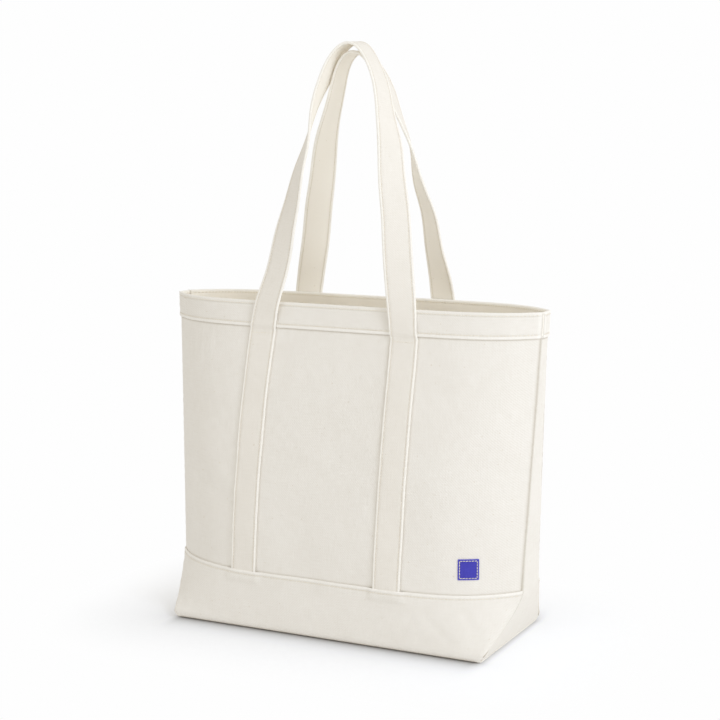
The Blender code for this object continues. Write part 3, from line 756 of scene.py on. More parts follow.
@dataclass(frozen=True)
class WovenCloth:
    """Heavy cotton cloth: warp and weft threads with slubs, soft and quite matt.

    Undyed canvas is matt and warm white. Slubs make short paler and darker dashes along both
    thread directions, and husk leaves rare brown specks. The twill line is really about 1 mm
    apart, which is too fine to show, so it is drawn about twice as coarse. Sizes are in metres.
    """

    name: str
    light: str
    shade: str
    # Colour of lightened folded edges: rubbing, and a painted highlight on rounded edges
    wear_and_highlight_colour: str
    weave: Weave
    thread: float
    relief: float
    mottle: float = 0.35
    fleck: str = "#C9BCA4"
    # Colour of the painted shade, with some dirt, in grooves and beside other pieces
    shade_and_dirt_colour: str = "#A99E8C"
    # Colour of faces that look into the bag: painted light, brighter than the outside on undyed
    # cloth
    inside: str = "#FFFCF5"
    roughness: float = 0.92
    sheen: float = 0.12
    slub: tuple[float, float] = (0.0011, 0.016)
    grain_size: float = 0.0016
    cloud_size: float = 0.045
    speck_size: float = 0.0032
    inside_painted_light_share: float = 0.8
    # Strength of the edge lightening: rubbing and painted highlight
    wear_and_highlight_gain: float = 1.1
    # Strength of the painted shade with some dirt
    shade_and_dirt: float = 0.55

    def wave(self, nodes: Nodes, place: Socket, scale: float, direction: str,
             rough: tuple[float, float, float]) -> Socket:
        """Lines of thread in one direction, with their distortion, detail and its scale."""
        return nodes.add("ShaderNodeTexWave", {
            "Vector": place, "Scale": scale, "Distortion": rough[0], "Detail": rough[1],
            "Detail Scale": rough[2],
        }, "Fac", wave_type="BANDS", bands_direction=direction)

    def ribs(self, nodes: Nodes, place: Socket) -> Socket:
        """The weave itself. A wave node repeats every pi / 10 of its scaled coordinate."""
        scale = math.pi / (10 * self.thread)
        if self.weave is Weave.TWILL:
            return self.wave(nodes, place, scale * math.sqrt(2), "DIAGONAL", (1.6, 2.0, 1.4))
        warp, weft = (self.wave(nodes, place, scale, direction, (1.2, 1.0, 1.0))
                      for direction in ("X", "Y"))
        return nodes.math("MULTIPLY", warp, weft)

    def slubs(self, nodes: Nodes, place: Socket) -> Socket:
        """Uneven thick stretches of thread, along and across."""
        dashes = []
        for sizes in (self.slub, self.slub[::-1]):
            drawn = nodes.add("ShaderNodeMapping", {
                "Vector": place, "Scale": (1 / sizes[0], 1 / sizes[1], 1.0)})
            dashes.append(nodes.noise(drawn, 1.0, 2.0, 0.6))
        return nodes.math("ADD", *dashes)

    def build(self) -> bpy.types.Material:
        """Makes the material."""
        material = bpy.data.materials.new(self.name)
        nodes = Nodes.cleared(material)
        place = nodes.add("ShaderNodeUVMap", None, "UV", uv_map=WEAVE_MAP)
        ribs, slub = self.ribs(nodes, place), self.slubs(nodes, place)
        grain = nodes.noise(place, self.grain_size, 2.0, 0.7)
        cloud = nodes.noise(place, self.cloud_size, 3.0, 0.55)
        tone = nodes.weighted(-0.18, (slub, 0.55), (ribs, 0.20), (grain, 0.30),
                              (cloud, self.mottle))
        colour = nodes.tint(nodes.remap(tone, 0.25, 1.05), self.shade, self.light)
        # Faces that look into the bag get painted light
        inside = nodes.math("MULTIPLY", nodes.attribute(INSIDE_PAINTED_LIGHT), self.inside_painted_light_share)
        colour = nodes.tint(inside, colour, self.inside)
        speck = nodes.noise(place, self.speck_size, 0.0)
        colour = nodes.tint(nodes.remap(speck, 0.80, 0.86, last=0.30), colour, self.fleck)
        # Folded edges are lightened: rubbing, and a painted highlight
        wear_and_highlight_mask = nodes.math("MULTIPLY", nodes.attribute(WEAR_AND_HIGHLIGHT_ATTRIBUTE), grain)
        wear_and_highlight_mask = nodes.math("MULTIPLY", wear_and_highlight_mask, self.wear_and_highlight_gain, clamp=True)
        colour = nodes.tint(wear_and_highlight_mask, colour, self.wear_and_highlight_colour)
        # Grooves and edges beside other pieces get painted shade, with some dirt
        shade_and_dirt = nodes.math("MULTIPLY", nodes.attribute(SHADE_AND_DIRT_ATTRIBUTE), self.shade_and_dirt)
        colour = nodes.tint(shade_and_dirt, colour, self.shade_and_dirt_colour)
        height = nodes.weighted(slub, (ribs, 0.55), (grain, 0.6))
        shader = nodes.add("ShaderNodeBsdfPrincipled", {
            "Base Color": colour, "Roughness": self.roughness, "Specular IOR Level": 0.25,
            "Sheen Weight": self.sheen, "Sheen Roughness": 0.6,
            "Normal": nodes.bumped(height, self.relief),
        })
        nodes.node("ShaderNodeOutputMaterial", {"Surface": shader})
        return material


@dataclass(frozen=True)
class SpunThread:
    """Twisted sewing thread, a little glossier than the cloth.

    Its two plies, twisted together, show as fine paler and darker dashes.
    """

    name: str
    light: str
    shade: str
    roughness: float = 0.62
    ply: float = 0.0009
    relief: float = 0.00008

    def build(self) -> bpy.types.Material:
        """Makes the material."""
        material = bpy.data.materials.new(self.name)
        nodes = Nodes.cleared(material)
        place = nodes.add("ShaderNodeTexCoord", None, "Object")
        ply = nodes.noise(place, self.ply, 2.0)
        shader = nodes.add("ShaderNodeBsdfPrincipled", {
            "Base Color": nodes.tint(nodes.remap(ply, 0.3, 0.7), self.shade, self.light),
            "Roughness": self.roughness, "Specular IOR Level": 0.35, "Sheen Weight": 0.1,
            "Normal": nodes.bumped(ply, self.relief),
        })
        nodes.node("ShaderNodeOutputMaterial", {"Surface": shader})
        return material


FINISHES = {
    Slot.CANVAS: WovenCloth("undyed_cotton_canvas", "#F0EEEA", "#E3DFD8", "#FAF9F6",
                            Weave.TWILL, 0.0022, 0.00007),
    Slot.STRAP: WovenCloth("undyed_strap_canvas", "#F1EEE9", "#E4E0D8", "#FBFAF6",
                           Weave.TWILL, 0.0020, 0.00006, mottle=0.25),
    Slot.TAPE: WovenCloth("cotton_binding_tape", "#EFEAE1", "#DED7CA", "#F5F1EA",
                          Weave.PLAIN, 0.0016, 0.00008),
    Slot.THREAD: SpunThread("ecru_sewing_thread", "#F6F2E8", "#E0D8C8"),
    Slot.BLUE: WovenCloth("dyed_blue_cotton", "#4D4BC4", "#3A389F", "#6A69D2", Weave.PLAIN,
                          0.0016, 0.00007, mottle=0.15, fleck="#3A389F", shade_and_dirt_colour="#2A2880",
                          inside="#3A389F"),
}


@dataclass
class Finishes:
    """The five materials of the bag, by slot."""

    materials: dict[Slot, bpy.types.Material] = field(init=False)

    def __post_init__(self) -> None:
        """Makes each material once."""
        self.materials = {slot: finish.build() for slot, finish in FINISHES.items()}

    def dress(self, item: bpy.types.Object, slot: Slot, nodes: list[str],
              rides: bool = True) -> bpy.types.Object:
        """Finishes a piece.

        Args:
            item: The piece.
            slot: Its material slot.
            nodes: Solids that it stands for.
            rides: Whether all of it moves with the bag.

        Returns:
            The piece.
        """
        item.data.materials.clear()
        item.data.materials.append(self.materials[slot])
        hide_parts(*nodes)
        if rides:
            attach(item, "bag")
        LOG.info("%s: %d faces", item.name, len(item.data.polygons))
        return item


# ---------------------------------------------------------------- Stitches


Line = Callable[[np.ndarray], tuple[np.ndarray, np.ndarray]]


@dataclass
class StitchRun:
    """One run of topstitching: where each stitch lies, its direction and the way it faces."""

    points: np.ndarray
    along: np.ndarray
    out: np.ndarray

    @classmethod
    def on(cls, line: Line, length: float, pitch: float) -> "StitchRun":
        """Lays stitches along a line.

        Args:
            line: Gives points and outward directions for shares of the way along the line.
            length: Length of the line in metres.
            pitch: Distance from stitch to stitch.

        Returns:
            The run.
        """
        count = max(int(round(length / pitch)), 2)
        share = (np.arange(count) + 0.5) / count
        points, out = line(share)
        ahead, _ = line(share + 0.2 / count)
        return cls(points, unit(ahead - points), out)


@dataclass(frozen=True)
class Topstitching:
    """Stitches of thick thread, each a short arch that dips into the cloth at both ends."""

    length: float = 0.0024
    pitch: float = 0.0036
    thread: float = 0.0008
    arch: float = 0.00042
    crown: float = 1.4
    wobble: float = 0.07
    sizes: tuple[float, float] = (0.92, 1.06)

    def arched_stitch(self, nodes: Nodes, given: bpy.types.NodeOutputs) -> Socket:
        """One stitch along X, with its ends below the cloth."""
        half = nodes.math("MULTIPLY", given["Stitch Length"], 0.5)
        back = nodes.math("MULTIPLY", half, -1.0)
        down = nodes.math("MULTIPLY", given["Arch Height"], -1.0)
        high = nodes.math("MULTIPLY", given["Arch Height"], self.crown)
        radius = nodes.math("MULTIPLY", given["Thread Diameter"], 0.5)
        start, end = (nodes.add("ShaderNodeCombineXYZ", {"X": x, "Z": down})
                      for x in (back, half))
        top = nodes.add("ShaderNodeCombineXYZ", {"Z": high})
        arch = nodes.add("GeometryNodeCurveQuadraticBezier", {
            "Resolution": 4, "Start": start, "Middle": top, "End": end})
        ring = nodes.add("GeometryNodeCurvePrimitiveCircle", {"Resolution": 6, "Radius": radius})
        return nodes.add("GeometryNodeCurveToMesh", {"Curve": arch, "Profile Curve": ring,
                         "Fill Caps": True})

    def tree(self) -> bpy.types.GeometryNodeTree:
        """The node tree that sets one arched stitch on every point of a run."""
        name = "stitch_on_each_point"
        if name in bpy.data.node_groups:
            return bpy.data.node_groups[name]
        tree = bpy.data.node_groups.new(name, "GeometryNodeTree")
        inputs = {"Geometry": "Geometry", "Stitch Length": "Float", "Thread Diameter": "Float",
                  "Arch Height": "Float", "Seed": "Int", "Thread": "Material"}
        for label, kind in inputs.items():
            tree.interface.new_socket(label, in_out="INPUT", socket_type=f"NodeSocket{kind}")
        tree.interface.new_socket("Geometry", in_out="OUTPUT", socket_type="NodeSocketGeometry")
        nodes = Nodes(tree)
        given = nodes.node("NodeGroupInput").outputs
        along, out = (nodes.add("GeometryNodeInputNamedAttribute", {"Name": key},
                                data_type="FLOAT_VECTOR") for key in ("along", "out"))
        turned = nodes.add("FunctionNodeAxesToRotation", {
            "Primary Axis": out, "Secondary Axis": along}, primary_axis="Z", secondary_axis="X")
        wobble, size = (nodes.add("FunctionNodeRandomValue", {2: low, 3: high,
                                  "Seed": given["Seed"]}, 1, data_type="FLOAT")
                        for low, high in ((-self.wobble, self.wobble), self.sizes))
        twist = nodes.add("ShaderNodeCombineXYZ", {"Z": wobble})
        turned = nodes.add("FunctionNodeRotateRotation", {
            "Rotation": turned, "Rotate By": twist}, rotation_space="LOCAL")
        placed = nodes.add("GeometryNodeInstanceOnPoints", {
            "Points": given["Geometry"], "Instance": self.arched_stitch(nodes, given),
            "Rotation": turned, "Scale": size})
        real = nodes.add("GeometryNodeRealizeInstances", {"Geometry": placed})
        soft = nodes.add("GeometryNodeSetShadeSmooth", {"Geometry": real})
        done = nodes.add("GeometryNodeSetMaterial", {"Geometry": soft,
                         "Material": given["Thread"]})
        nodes.node("NodeGroupOutput", {"Geometry": done})
        return tree

    def build(self, name: str, runs: list[StitchRun], finishes: Finishes, nodes: list[str],
              seed: int, rides: bool = True) -> bpy.types.Object:
        """Makes the stitches of several runs as one plain mesh.

        Args:
            name: Name of the piece.
            runs: Its runs.
            finishes: Where the thread's material comes from.
            nodes: Solids that it stands for.
            seed: Seed of the stitches' small unevenness.
            rides: Whether all of it moves with the bag.

        Returns:
            The piece.
        """
        mesh = bpy.data.meshes.new(f"{name}_points")
        points = np.concatenate([run.points for run in runs])
        mesh.vertices.add(len(points))
        mesh.vertices.foreach_set("co", points.astype(np.float32).ravel())
        for key in ("along", "out"):
            vectors = np.concatenate([getattr(run, key) for run in runs])
            attribute = mesh.attributes.new(key, "FLOAT_VECTOR", "POINT")
            attribute.data.foreach_set("vector", vectors.astype(np.float32).ravel())
        carrier = linked(f"{name}_points", mesh)
        modifier = carrier.modifiers.new("Stitches", "NODES")
        modifier.node_group = self.tree()
        values = {"Stitch Length": self.length, "Thread Diameter": self.thread,
                  "Arch Height": self.arch, "Seed": seed,
                  "Thread": finishes.materials[Slot.THREAD]}
        for socket in modifier.node_group.interface.items_tree:
            if socket.in_out == "INPUT" and socket.name in values:
                modifier[socket.identifier] = values[socket.name]
        graph = bpy.context.evaluated_depsgraph_get()
        made = bpy.data.meshes.new_from_object(carrier.evaluated_get(graph))
        bpy.data.objects.remove(carrier, do_unlink=True)
        made.name = name
        return finishes.dress(linked(name, made), Slot.THREAD, nodes, rides)


# ---------------------------------------------------------------- Canvas body


@dataclass
class SewnPart:
    """Something made of cloth that lies on the bag's body."""

    body: ClothBody
    finishes: Finishes

    @property
    def shape(self) -> BagShape:
        """The plain shape of the bag."""
        return self.body.shape


@dataclass
class CanvasBody(SewnPart):
    """Front, back, side gussets and inner floor of heavy canvas."""

    across: Spacing = Spacing(0.0007, 0.0029, 0.006)
    rows: Spacing = Spacing(0.0006, 0.0029, 0.004)
    gusset_across: Spacing = Spacing(0.02, 0.085, 0.2)
    gusset_rows: Spacing = Spacing(0.0006, 0.0029, 0.005)
    panel_turn: float = 85.0
    rim_gap: float = 0.0003
    gusset_foot_gap: float = 0.0006
    gusset_seam_gap: float = 0.0004
    gusset_swell: float = 0.0006
    gusset_waves: tuple[float, float] = (0.05, 0.12)
    gusset_foot: float = 0.03
    gusset_pucker: Pucker = Pucker(0.0002, 0.010, 0.008)
    gusset_bow: float = 0.0016
    bow_start: tuple[float, float] = (0.02, 0.12)
    bow_end: tuple[float, float] = (0.25, 0.38)
    gusset_weave: float = 0.7
    base_swell: float = 0.0009
    base_span: tuple[float, float] = (0.055, 0.110)
    floor_setback: float = 0.0020
    floor_swell: float = 0.0007
    floor_waves: tuple[float, float] = (0.05, 0.13)
    floor_weave: float = 1.9

    def columns(self, face: Face) -> np.ndarray:
        """Stations across a wall, closer together beside the seams and the straps."""
        shape = self.shape
        half = shape.flare_width / 2
        heights = np.array([shape.flare_height, shape.cross_stitch_height])
        marks = [-half, half]
        for side in Side:
            centre = shape.strap_centre(face, side, heights)
            for edge in (-shape.strap_width / 2, shape.strap_width / 2):
                ends = (centre + edge) / shape.half_width(heights) * half
                marks += list(np.linspace(ends[0], ends[1], 5))
        return self.across.stations(-half, half, sorted(marks)) / half

    def seam_columns(self) -> np.ndarray:
        """Stations across a wall, closer together beside the seams only."""
        half = self.shape.flare_width / 2
        return self.across.stations(-half, half, [-half, half]) / half

    def panel(self, face: Face) -> bpy.types.Object:
        """Front or back, from the rim to just past the rounded bottom edge."""
        shape = self.shape
        low = -shape.floor_rounding * math.radians(self.panel_turn)
        top = shape.girth_at(shape.height - shape.canvas - self.rim_gap)
        marks = [shape.girth_at(shape.flare_height + self.body.contact),
                 shape.girth_at(shape.hem_bottom - self.body.contact)]
        girths = self.rows.stations(low, top, marks)
        across, girth = np.meshgrid(self.columns(face), girths)
        height = shape.wall_height(girth)
        x = across * shape.half_width(height)
        from_seam = (1 - np.abs(across)) * shape.half_width(height)
        middle, normal = self.body.on_wall(
            face, across, girth, -shape.canvas / 2 - self.body.seam_dip(from_seam))
        # Painted shade lines darken the panel by its seams, straps, hem and band
        sheet = Sheet(f"{face.label}_canvas", middle, normal, np.stack([x, girth], -1),
                      shape.canvas / 2, shape.canvas / 2,
                      hollow=self.body.shade_lines(face, x, height))
        item = self.finishes.dress(sheet.build(), Slot.CANVAS, [f"{face.label}_panel"])
        return item

    def gusset_point(self, side: Side, share: np.ndarray, height: np.ndarray,
                     offset: np.ndarray) -> tuple[np.ndarray, np.ndarray, np.ndarray]:
        """Points on a side gusset.

        Args:
            side: Left or right.
            share: Place from -1 at the front seam to 1 at the back seam.
            height: Height above the floor.
            offset: Distance outwards.

        Returns:
            Points, outward directions and distances from the nearer seam.
        """
        shape = self.shape
        seam = np.minimum(shape.half_gusset(height), shape.half_depth(height))
        reach = seam - self.gusset_seam_gap
        slope = (shape.half_width(height + shape.step) - shape.half_width(height)) / shape.step
        normal = unit(np.stack([side.value * np.ones_like(share), np.zeros_like(share),
                                -slope], -1))
        y = share * reach
        from_seam = reach * (1 - np.abs(share))
        seed = 71 if side is Side.RIGHT else 83
        fade = smooth(height, 0.0, self.gusset_foot)
        swell = self.gusset_swell * fade * billow(y, height, *self.gusset_waves, seed)
        swell = swell * (1 - share ** 4)
        swell = swell + fade * np.where(y > 0, self.gusset_pucker.at(from_seam, height, seed + 1),
                                        self.gusset_pucker.at(from_seam, height, seed + 2))
        bow = self.gusset_bow * smooth(height, *self.bow_start)
        bow = bow * (1 - smooth(height, *self.bow_end))
        bow = bow * (1 - share ** 2)
        plain = np.stack([side.value * shape.half_width(height), y, height], -1)
        lift = swell - bow + offset - self.body.seam_dip(from_seam)
        return plain + normal * lift[..., None], normal, from_seam

    def gusset(self, side: Side) -> bpy.types.Object:
        """Side gusset: a narrow strip that opens out to the whole end of the base."""
        shape = self.shape
        low = shape.floor_top + self.gusset_foot_gap
        top = shape.height - shape.canvas - self.rim_gap
        heights = self.gusset_rows.stations(low, top, [low, shape.hem_bottom - self.body.contact])
        shares = self.gusset_across.stations(-1.0, 1.0, [-1.0, 1.0])
        share, height = np.meshgrid(shares, heights)
        fuller = self.base_swell * (1 - smooth(height, *self.base_span))
        middle, normal, from_seam = self.gusset_point(
            side, share, height, fuller - shape.canvas / 2)
        # Painted shade along the seams and just under the hem
        under_hem = bump(shape.hem_bottom - height, self.body.contact, self.body.contact_width)
        sheet = Sheet(f"{side.label}_side_canvas", middle, normal,
                      middle[..., [1, 2]] + np.array([self.gusset_weave * side.value, 0.0]),
                      shape.canvas / 2, shape.canvas / 2,
                      hollow=np.maximum(bump(from_seam, 0.0, self.body.seam_shade), under_hem))
        item = self.finishes.dress(sheet.build(), Slot.CANVAS, [f"{side.label}_gusset"])
        return item

    def inner_floor(self) -> bpy.types.Object:
        """Inner floor, lying on the base band between the four walls."""
        shape = self.shape
        reach_x = shape.base_width / 2 - self.floor_setback
        reach_y = shape.base_depth / 2 - shape.floor_rounding
        x, y = np.meshgrid(np.linspace(-reach_x, reach_x, 130), np.linspace(-reach_y, reach_y, 54))
        fade = (1 - (x / reach_x) ** 8) * (1 - (y / reach_y) ** 8)
        z = shape.floor_top + shape.canvas / 2 + self.floor_swell * fade * (
            0.6 + 0.5 * billow(x, y, *self.floor_waves, 5))
        middle = np.stack([x, y, z], -1)
        # The inner floor looks into the bag and gets painted light
        sheet = Sheet("inner_floor_canvas", middle, upright(middle, 1.0),
                      np.stack([x + self.floor_weave, y], -1), shape.canvas / 2, shape.canvas / 2,
                      turned_in=1.0)
        item = self.finishes.dress(sheet.build(), Slot.CANVAS, ["base_panel"])
        return item

    def build(self) -> None:
        """Makes all the cut pieces of the body."""
        for face in Face:
            self.panel(face)
        for side in Side:
            self.gusset(side)
        self.inner_floor()


# ---------------------------------------------------------------- Base band


@dataclass
class BaseBand(SewnPart):
    """The reinforcement wrapped around the bottom, with its top edge folded in and topstitched."""

    columns: np.ndarray
    top: float = 0.071
    stitch_inset: float = 0.004
    stitch_width: float = 0.0008
    offset: float = 0.00080
    floor_offset: float = 0.0015
    strap_tuck: float = 0.009
    strap_thickness: float = 0.0024
    ramp: float = 0.0080
    overlap: float = 0.0005
    tuck_overlap: float = 0.001
    offset_span: tuple[float, float] = (0.012, 0.055)
    ridge: float = 0.00025
    groove: float = 0.00032
    seam_share: float = 0.8
    seam_foot: float = 0.02
    # The top edges are lightened, for rubbing and as a painted highlight; the bottom gets painted
    # contact shade with some dirt
    edge_wear_and_highlight: Bell = Bell(0.0008, 0.0014)
    contact_shade_and_dirt: float = 1.6
    contact_shade_span: tuple[float, float] = (0.0006, 0.0042)
    contact_shade_ends: tuple[float, float] = (0.002, 0.006)
    weave_start: float = 3.1
    mean_width: float = 0.93
    floor_rows: int = 18

    def lift(self, face: Face, x: np.ndarray, height: np.ndarray) -> np.ndarray:
        """Height of the band's middle above the wall: over the strap ends, fold and stitches."""
        edge = self.body.strap_edge(face, x, height)
        over = 1 - smooth(edge, -self.overlap, self.ramp)
        below = self.top - height
        over = over * (1 - smooth(below, self.strap_tuck - self.tuck_overlap,
                                  self.strap_tuck + self.ramp))
        fold = self.ridge * FOLDED_EDGE.at(below)
        line = self.groove * bump(below, self.stitch_inset, self.stitch_width)
        rise = smooth(height, *self.offset_span)
        low = self.floor_offset + (self.offset - self.floor_offset) * rise
        return low + self.strap_thickness * over + fold - line

    def walls(self) -> tuple[list[np.ndarray], list[np.ndarray]]:
        """The band's middle and outward directions on the front and on the back."""
        shape = self.shape
        bottom = -shape.floor_rounding * math.pi / 2
        marks = [0.0, FOLD_END, self.stitch_inset, self.strap_tuck + self.ramp / 2]
        length = shape.girth_at(self.top)
        down = length - FOLD_ROWS.stations(0.0, length - bottom, marks)
        across, girth = np.meshgrid(self.columns, down)
        height = shape.wall_height(girth)
        x = across * shape.half_width(height)
        from_seam = (1 - np.abs(across)) * shape.half_width(height)
        dip = self.body.seam_dip(from_seam) * self.seam_share * smooth(height, 0.0, self.seam_foot)
        sides = [self.body.on_wall(face, across, girth, self.lift(face, x, height) - dip)
                 for face in Face]
        return [middle for middle, _ in sides], [normal for _, normal in sides]

    def build(self) -> bpy.types.Object:
        """Makes the band from the front over the floor to the back."""
        shape = self.shape
        (front, back), (front_out, back_out) = self.walls()
        share = np.linspace(0, 1, self.floor_rows)[1:-1][:, None, None]
        under = front[-1][None] * (1 - share) + back[-1][None] * share
        middle = np.concatenate([front, under, back[::-1]])
        normal = np.concatenate([front_out, upright(under, -1.0), back_out[::-1]])
        run = travelled(middle[:, len(self.columns) // 2])
        weave = np.stack(np.broadcast_arrays(middle[..., 0] + self.weave_start, run[:, None]), -1)
        edge = np.minimum(run, run[-1] - run)[:, None] * np.ones(len(self.columns))
        # Painted shade along the stitch rows, and painted contact shade with some dirt at the
        # bottom, fading out at the side seams
        stitched = 0.3 * bump(edge, self.stitch_inset, self.stitch_width)
        x, height = middle[..., 0], middle[..., 2]
        inner = smooth(shape.half_width(height) - np.abs(x), *self.contact_shade_ends)
        contact_shade_and_dirt = self.contact_shade_and_dirt * inner * (1 - smooth(height, *self.contact_shade_span))
        sheet = Sheet("base_band_canvas", middle, normal, weave, shape.canvas / 2,
                      shape.canvas / 2, self.edge_wear_and_highlight.at(edge), np.maximum(stitched, contact_shade_and_dirt))
        item = self.finishes.dress(sheet.build(), Slot.CANVAS, ["base_band"])
        return item

    def stitches(self, face: Face, stitching: Topstitching) -> bpy.types.Object:
        """The row of stitches along the top of the band."""
        height = self.top - self.stitch_inset
        reach = float(self.shape.half_width(np.array(height))) - 0.003
        above = self.shape.canvas / 2 + stitching.thread * 0.25

        def line(share: np.ndarray) -> tuple[np.ndarray, np.ndarray]:
            """Points along the row."""
            x = -reach + 2 * reach * share
            z = np.full(x.shape, height)
            return self.body.at_height(face, x, z, self.lift(face, x, z) + above)

        run = StitchRun.on(line, 2 * reach, stitching.pitch)
        return stitching.build(f"{face.label}_band_stitches", [run], self.finishes,
                               [f"{face.label}_band_stitching"], 5 + face.value)


# ---------------------------------------------------------------- Rim hems


@dataclass
class RimHems(SewnPart):
    """The hems folded over the rim, with a folded lower edge and two rows of stitches."""

    columns: np.ndarray
    outer_offset: float = 0.00076
    inner_offset: float = -0.0022
    inset_low: float = 0.0036
    inset_high: float = 0.0035
    row_width: float = 0.0007
    ridge: float = 0.00022
    groove: float = 0.00030
    seam_line: float = 0.0016
    gusset_gap: float = 0.0004
    seam_share: float = 0.75
    upper_drop: float = 0.0012
    # Where the hem is lightened: rubbing, and a painted highlight on the fold, the rim and the seam
    edge_wear_and_highlight: Bell = Bell(0.0009, 0.0017)
    rim_wear_and_highlight: float = 0.0022
    seam_wear_and_highlight: Bell = Bell(0.0030, 0.0015)
    rim_blend: tuple[float, float] = (0.003, 0.001)
    weave_start: float = 5.3
    gusset_across: Spacing = Spacing(0.06, 0.16, 0.3)
    ease: float = 1.03
    wall_row: float = 0.985
    gusset_row: float = 0.78

    def profile(self) -> tuple[np.ndarray, np.ndarray, np.ndarray]:
        """Rows of a hem: up the outside, over the rim and down the inside.

        Returns:
            Height, distance outwards and distance along the cloth of each row.
        """
        shape = self.shape
        radius = (self.outer_offset - self.inner_offset) / 2
        crown = shape.height - shape.canvas / 2 - radius
        marks = [shape.hem_bottom, shape.hem_bottom + FOLD_END, shape.hem_bottom + self.inset_low,
                 shape.height - self.inset_high]
        up = FOLD_ROWS.stations(shape.hem_bottom, crown, marks)
        turns = np.linspace(0, np.pi, 9)[1:-1]
        middle = (self.outer_offset + self.inner_offset) / 2
        height = np.concatenate([up, crown + radius * np.sin(turns), up[::-1]])
        offset = np.concatenate([np.full(up.shape, self.outer_offset),
                                 middle + radius * np.cos(turns),
                                 np.full(up.shape, self.inner_offset)])
        return height, offset, travelled(np.stack([height, offset], -1))

    def detail(self, run: np.ndarray, length: float) -> tuple[np.ndarray, np.ndarray, np.ndarray]:
        """Ridge and groove of a hem across its rows, and where it is lightened and shaded.

        Args:
            run: Distance along the cloth from its first edge.
            length: Whole distance along the cloth.

        Returns:
            Extra half thickness, the lightening (rubbing and painted highlight) and the stitch
            rows, which get painted shade.
        """
        from_edge = np.minimum(run, length - run)
        rim = length / 2
        fold = FOLDED_EDGE.at(from_edge)
        rows = bump(from_edge, self.inset_low, self.row_width)
        rows = rows + bump(np.abs(run - rim), self.inset_high + self.upper_drop, self.row_width)
        worn = self.edge_wear_and_highlight.at(from_edge) + 0.8 * bump(run, rim, self.rim_wear_and_highlight)
        return self.ridge * fold - self.groove * rows, worn, rows

    def wall_grid(self, face: Face, across: np.ndarray, height: np.ndarray,
                  offset: np.ndarray) -> tuple[np.ndarray, np.ndarray]:
        """Points of a hem on a wall, moved straight out, and the wall's level directions."""
        shape = self.shape
        girth = shape.girth_at(height)
        plain = shape.wall(face, across, girth)
        normal = shape.wall_normal(face, across, girth)
        normal[..., 2] = 0.0
        normal = unit(normal)
        lift = offset + self.body.relief(face, plain[..., 0], plain[..., 2])
        return plain + normal * lift[..., None], normal

    def gusset_reach(self) -> float:
        """Half the width of a hem on a side gusset."""
        return float(self.shape.half_gusset(np.array(self.shape.height))) - self.gusset_gap

    def gusset_grid(self, side: Side, share: np.ndarray, height: np.ndarray,
                    offset: np.ndarray) -> tuple[np.ndarray, np.ndarray]:
        """Points of a hem on a side gusset."""
        x = side.value * (self.shape.half_width(height) + offset)
        level = np.zeros((*share.shape, 3))
        level[..., 0] = side.value
        return np.stack([x, share * self.gusset_reach(), height], -1), level

    def hem(self, part: Face | Side, shares: np.ndarray) -> tuple[bpy.types.Object, float]:
        """Makes the hem over the top edge of a wall or a side gusset.

        Args:
            part: Where it lies.
            shares: Stations across it, from -1 to 1.

        Returns:
            The piece and the length of its cloth over the rim.
        """
        shape = self.shape
        height, offset, run = self.profile()
        share, height = np.meshgrid(shares, height)
        offset, run_grid = (np.broadcast_to(row[:, None], share.shape) for row in (offset, run))
        on_face = isinstance(part, Face)
        reach = shape.half_width(height) if on_face else self.gusset_reach()
        grid = self.wall_grid if on_face else self.gusset_grid
        from_seam = (1 - np.abs(share)) * reach
        middle_run = run[-1] / 2
        inside = np.where(run_grid > middle_run, -1.0, 1.0)
        dip = self.body.seam_dip(from_seam) * inside
        middle, level = grid(part, share, height, offset - dip * self.seam_share)
        normal = unit(np.cross(np.gradient(middle, axis=1), np.gradient(middle, axis=0)))
        if np.sum(normal[2] * level[2]) < 0:
            normal = -normal
        extra, worn, rows = self.detail(run_grid, run[-1])
        before, after = self.rim_blend
        outside = 1 - smooth(run_grid, middle_run - before, middle_run + after)
        # The seam's edge on the outside is lightened too: rubbing and a painted highlight
        worn = worn + self.seam_wear_and_highlight.at(from_seam) * outside
        seam_line = bump(from_seam, 0.0, self.seam_line)
        # Painted shade in the stitch grooves and along the seam line, outside only
        shade = np.maximum(rows * 0.25, seam_line * 0.7) * outside
        weave = np.stack([middle[..., 0] + middle[..., 1] + self.weave_start, run_grid], -1)
        # The hem's inner half gets painted light
        sheet = Sheet(f"{part.label}_hem_canvas", middle, normal, weave,
                      shape.canvas / 2 + extra, shape.canvas / 2, worn, shade,
                      smooth(run_grid, middle_run - after, middle_run + before))
        item = self.finishes.dress(sheet.build(), Slot.CANVAS, [f"{part.label}_hem"])
        return item, float(run[-1])

    def stitch_row(self, label: str, height: float, stitching: Topstitching,
                   seed: int) -> bpy.types.Object:
        """One row of stitches around the rim, seen outside and inside.

        Args:
            label: Upper or lower.
            height: Height of the row.
            stitching: How the stitches are made.
            seed: Seed of their unevenness.

        Returns:
            The piece.
        """
        shape = self.shape
        thickness = shape.canvas / 2 + stitching.thread * 0.15
        runs = []
        for turn, offset in ((1.0, self.outer_offset + thickness),
                             (-1.0, self.inner_offset - thickness)):
            for part in (*Face, *Side):
                on_face = isinstance(part, Face)
                grid = self.wall_grid if on_face else self.gusset_grid
                reach = self.wall_row if on_face else self.gusset_row
                length = shape.rim_width if on_face else shape.gusset_rim_width * reach

                def line(share: np.ndarray) -> tuple[np.ndarray, np.ndarray]:
                    """Points along the wall or the gusset."""
                    points, out = grid(part, (2 * share - 1) * reach,
                                       np.full(share.shape, height),
                                       np.full(share.shape, offset))
                    return points, out * turn

                runs.append(StitchRun.on(line, length, stitching.pitch))
        return stitching.build(f"rim_{label}_stitches", runs, self.finishes,
                               [f"rim_{label}_stitching"], seed)

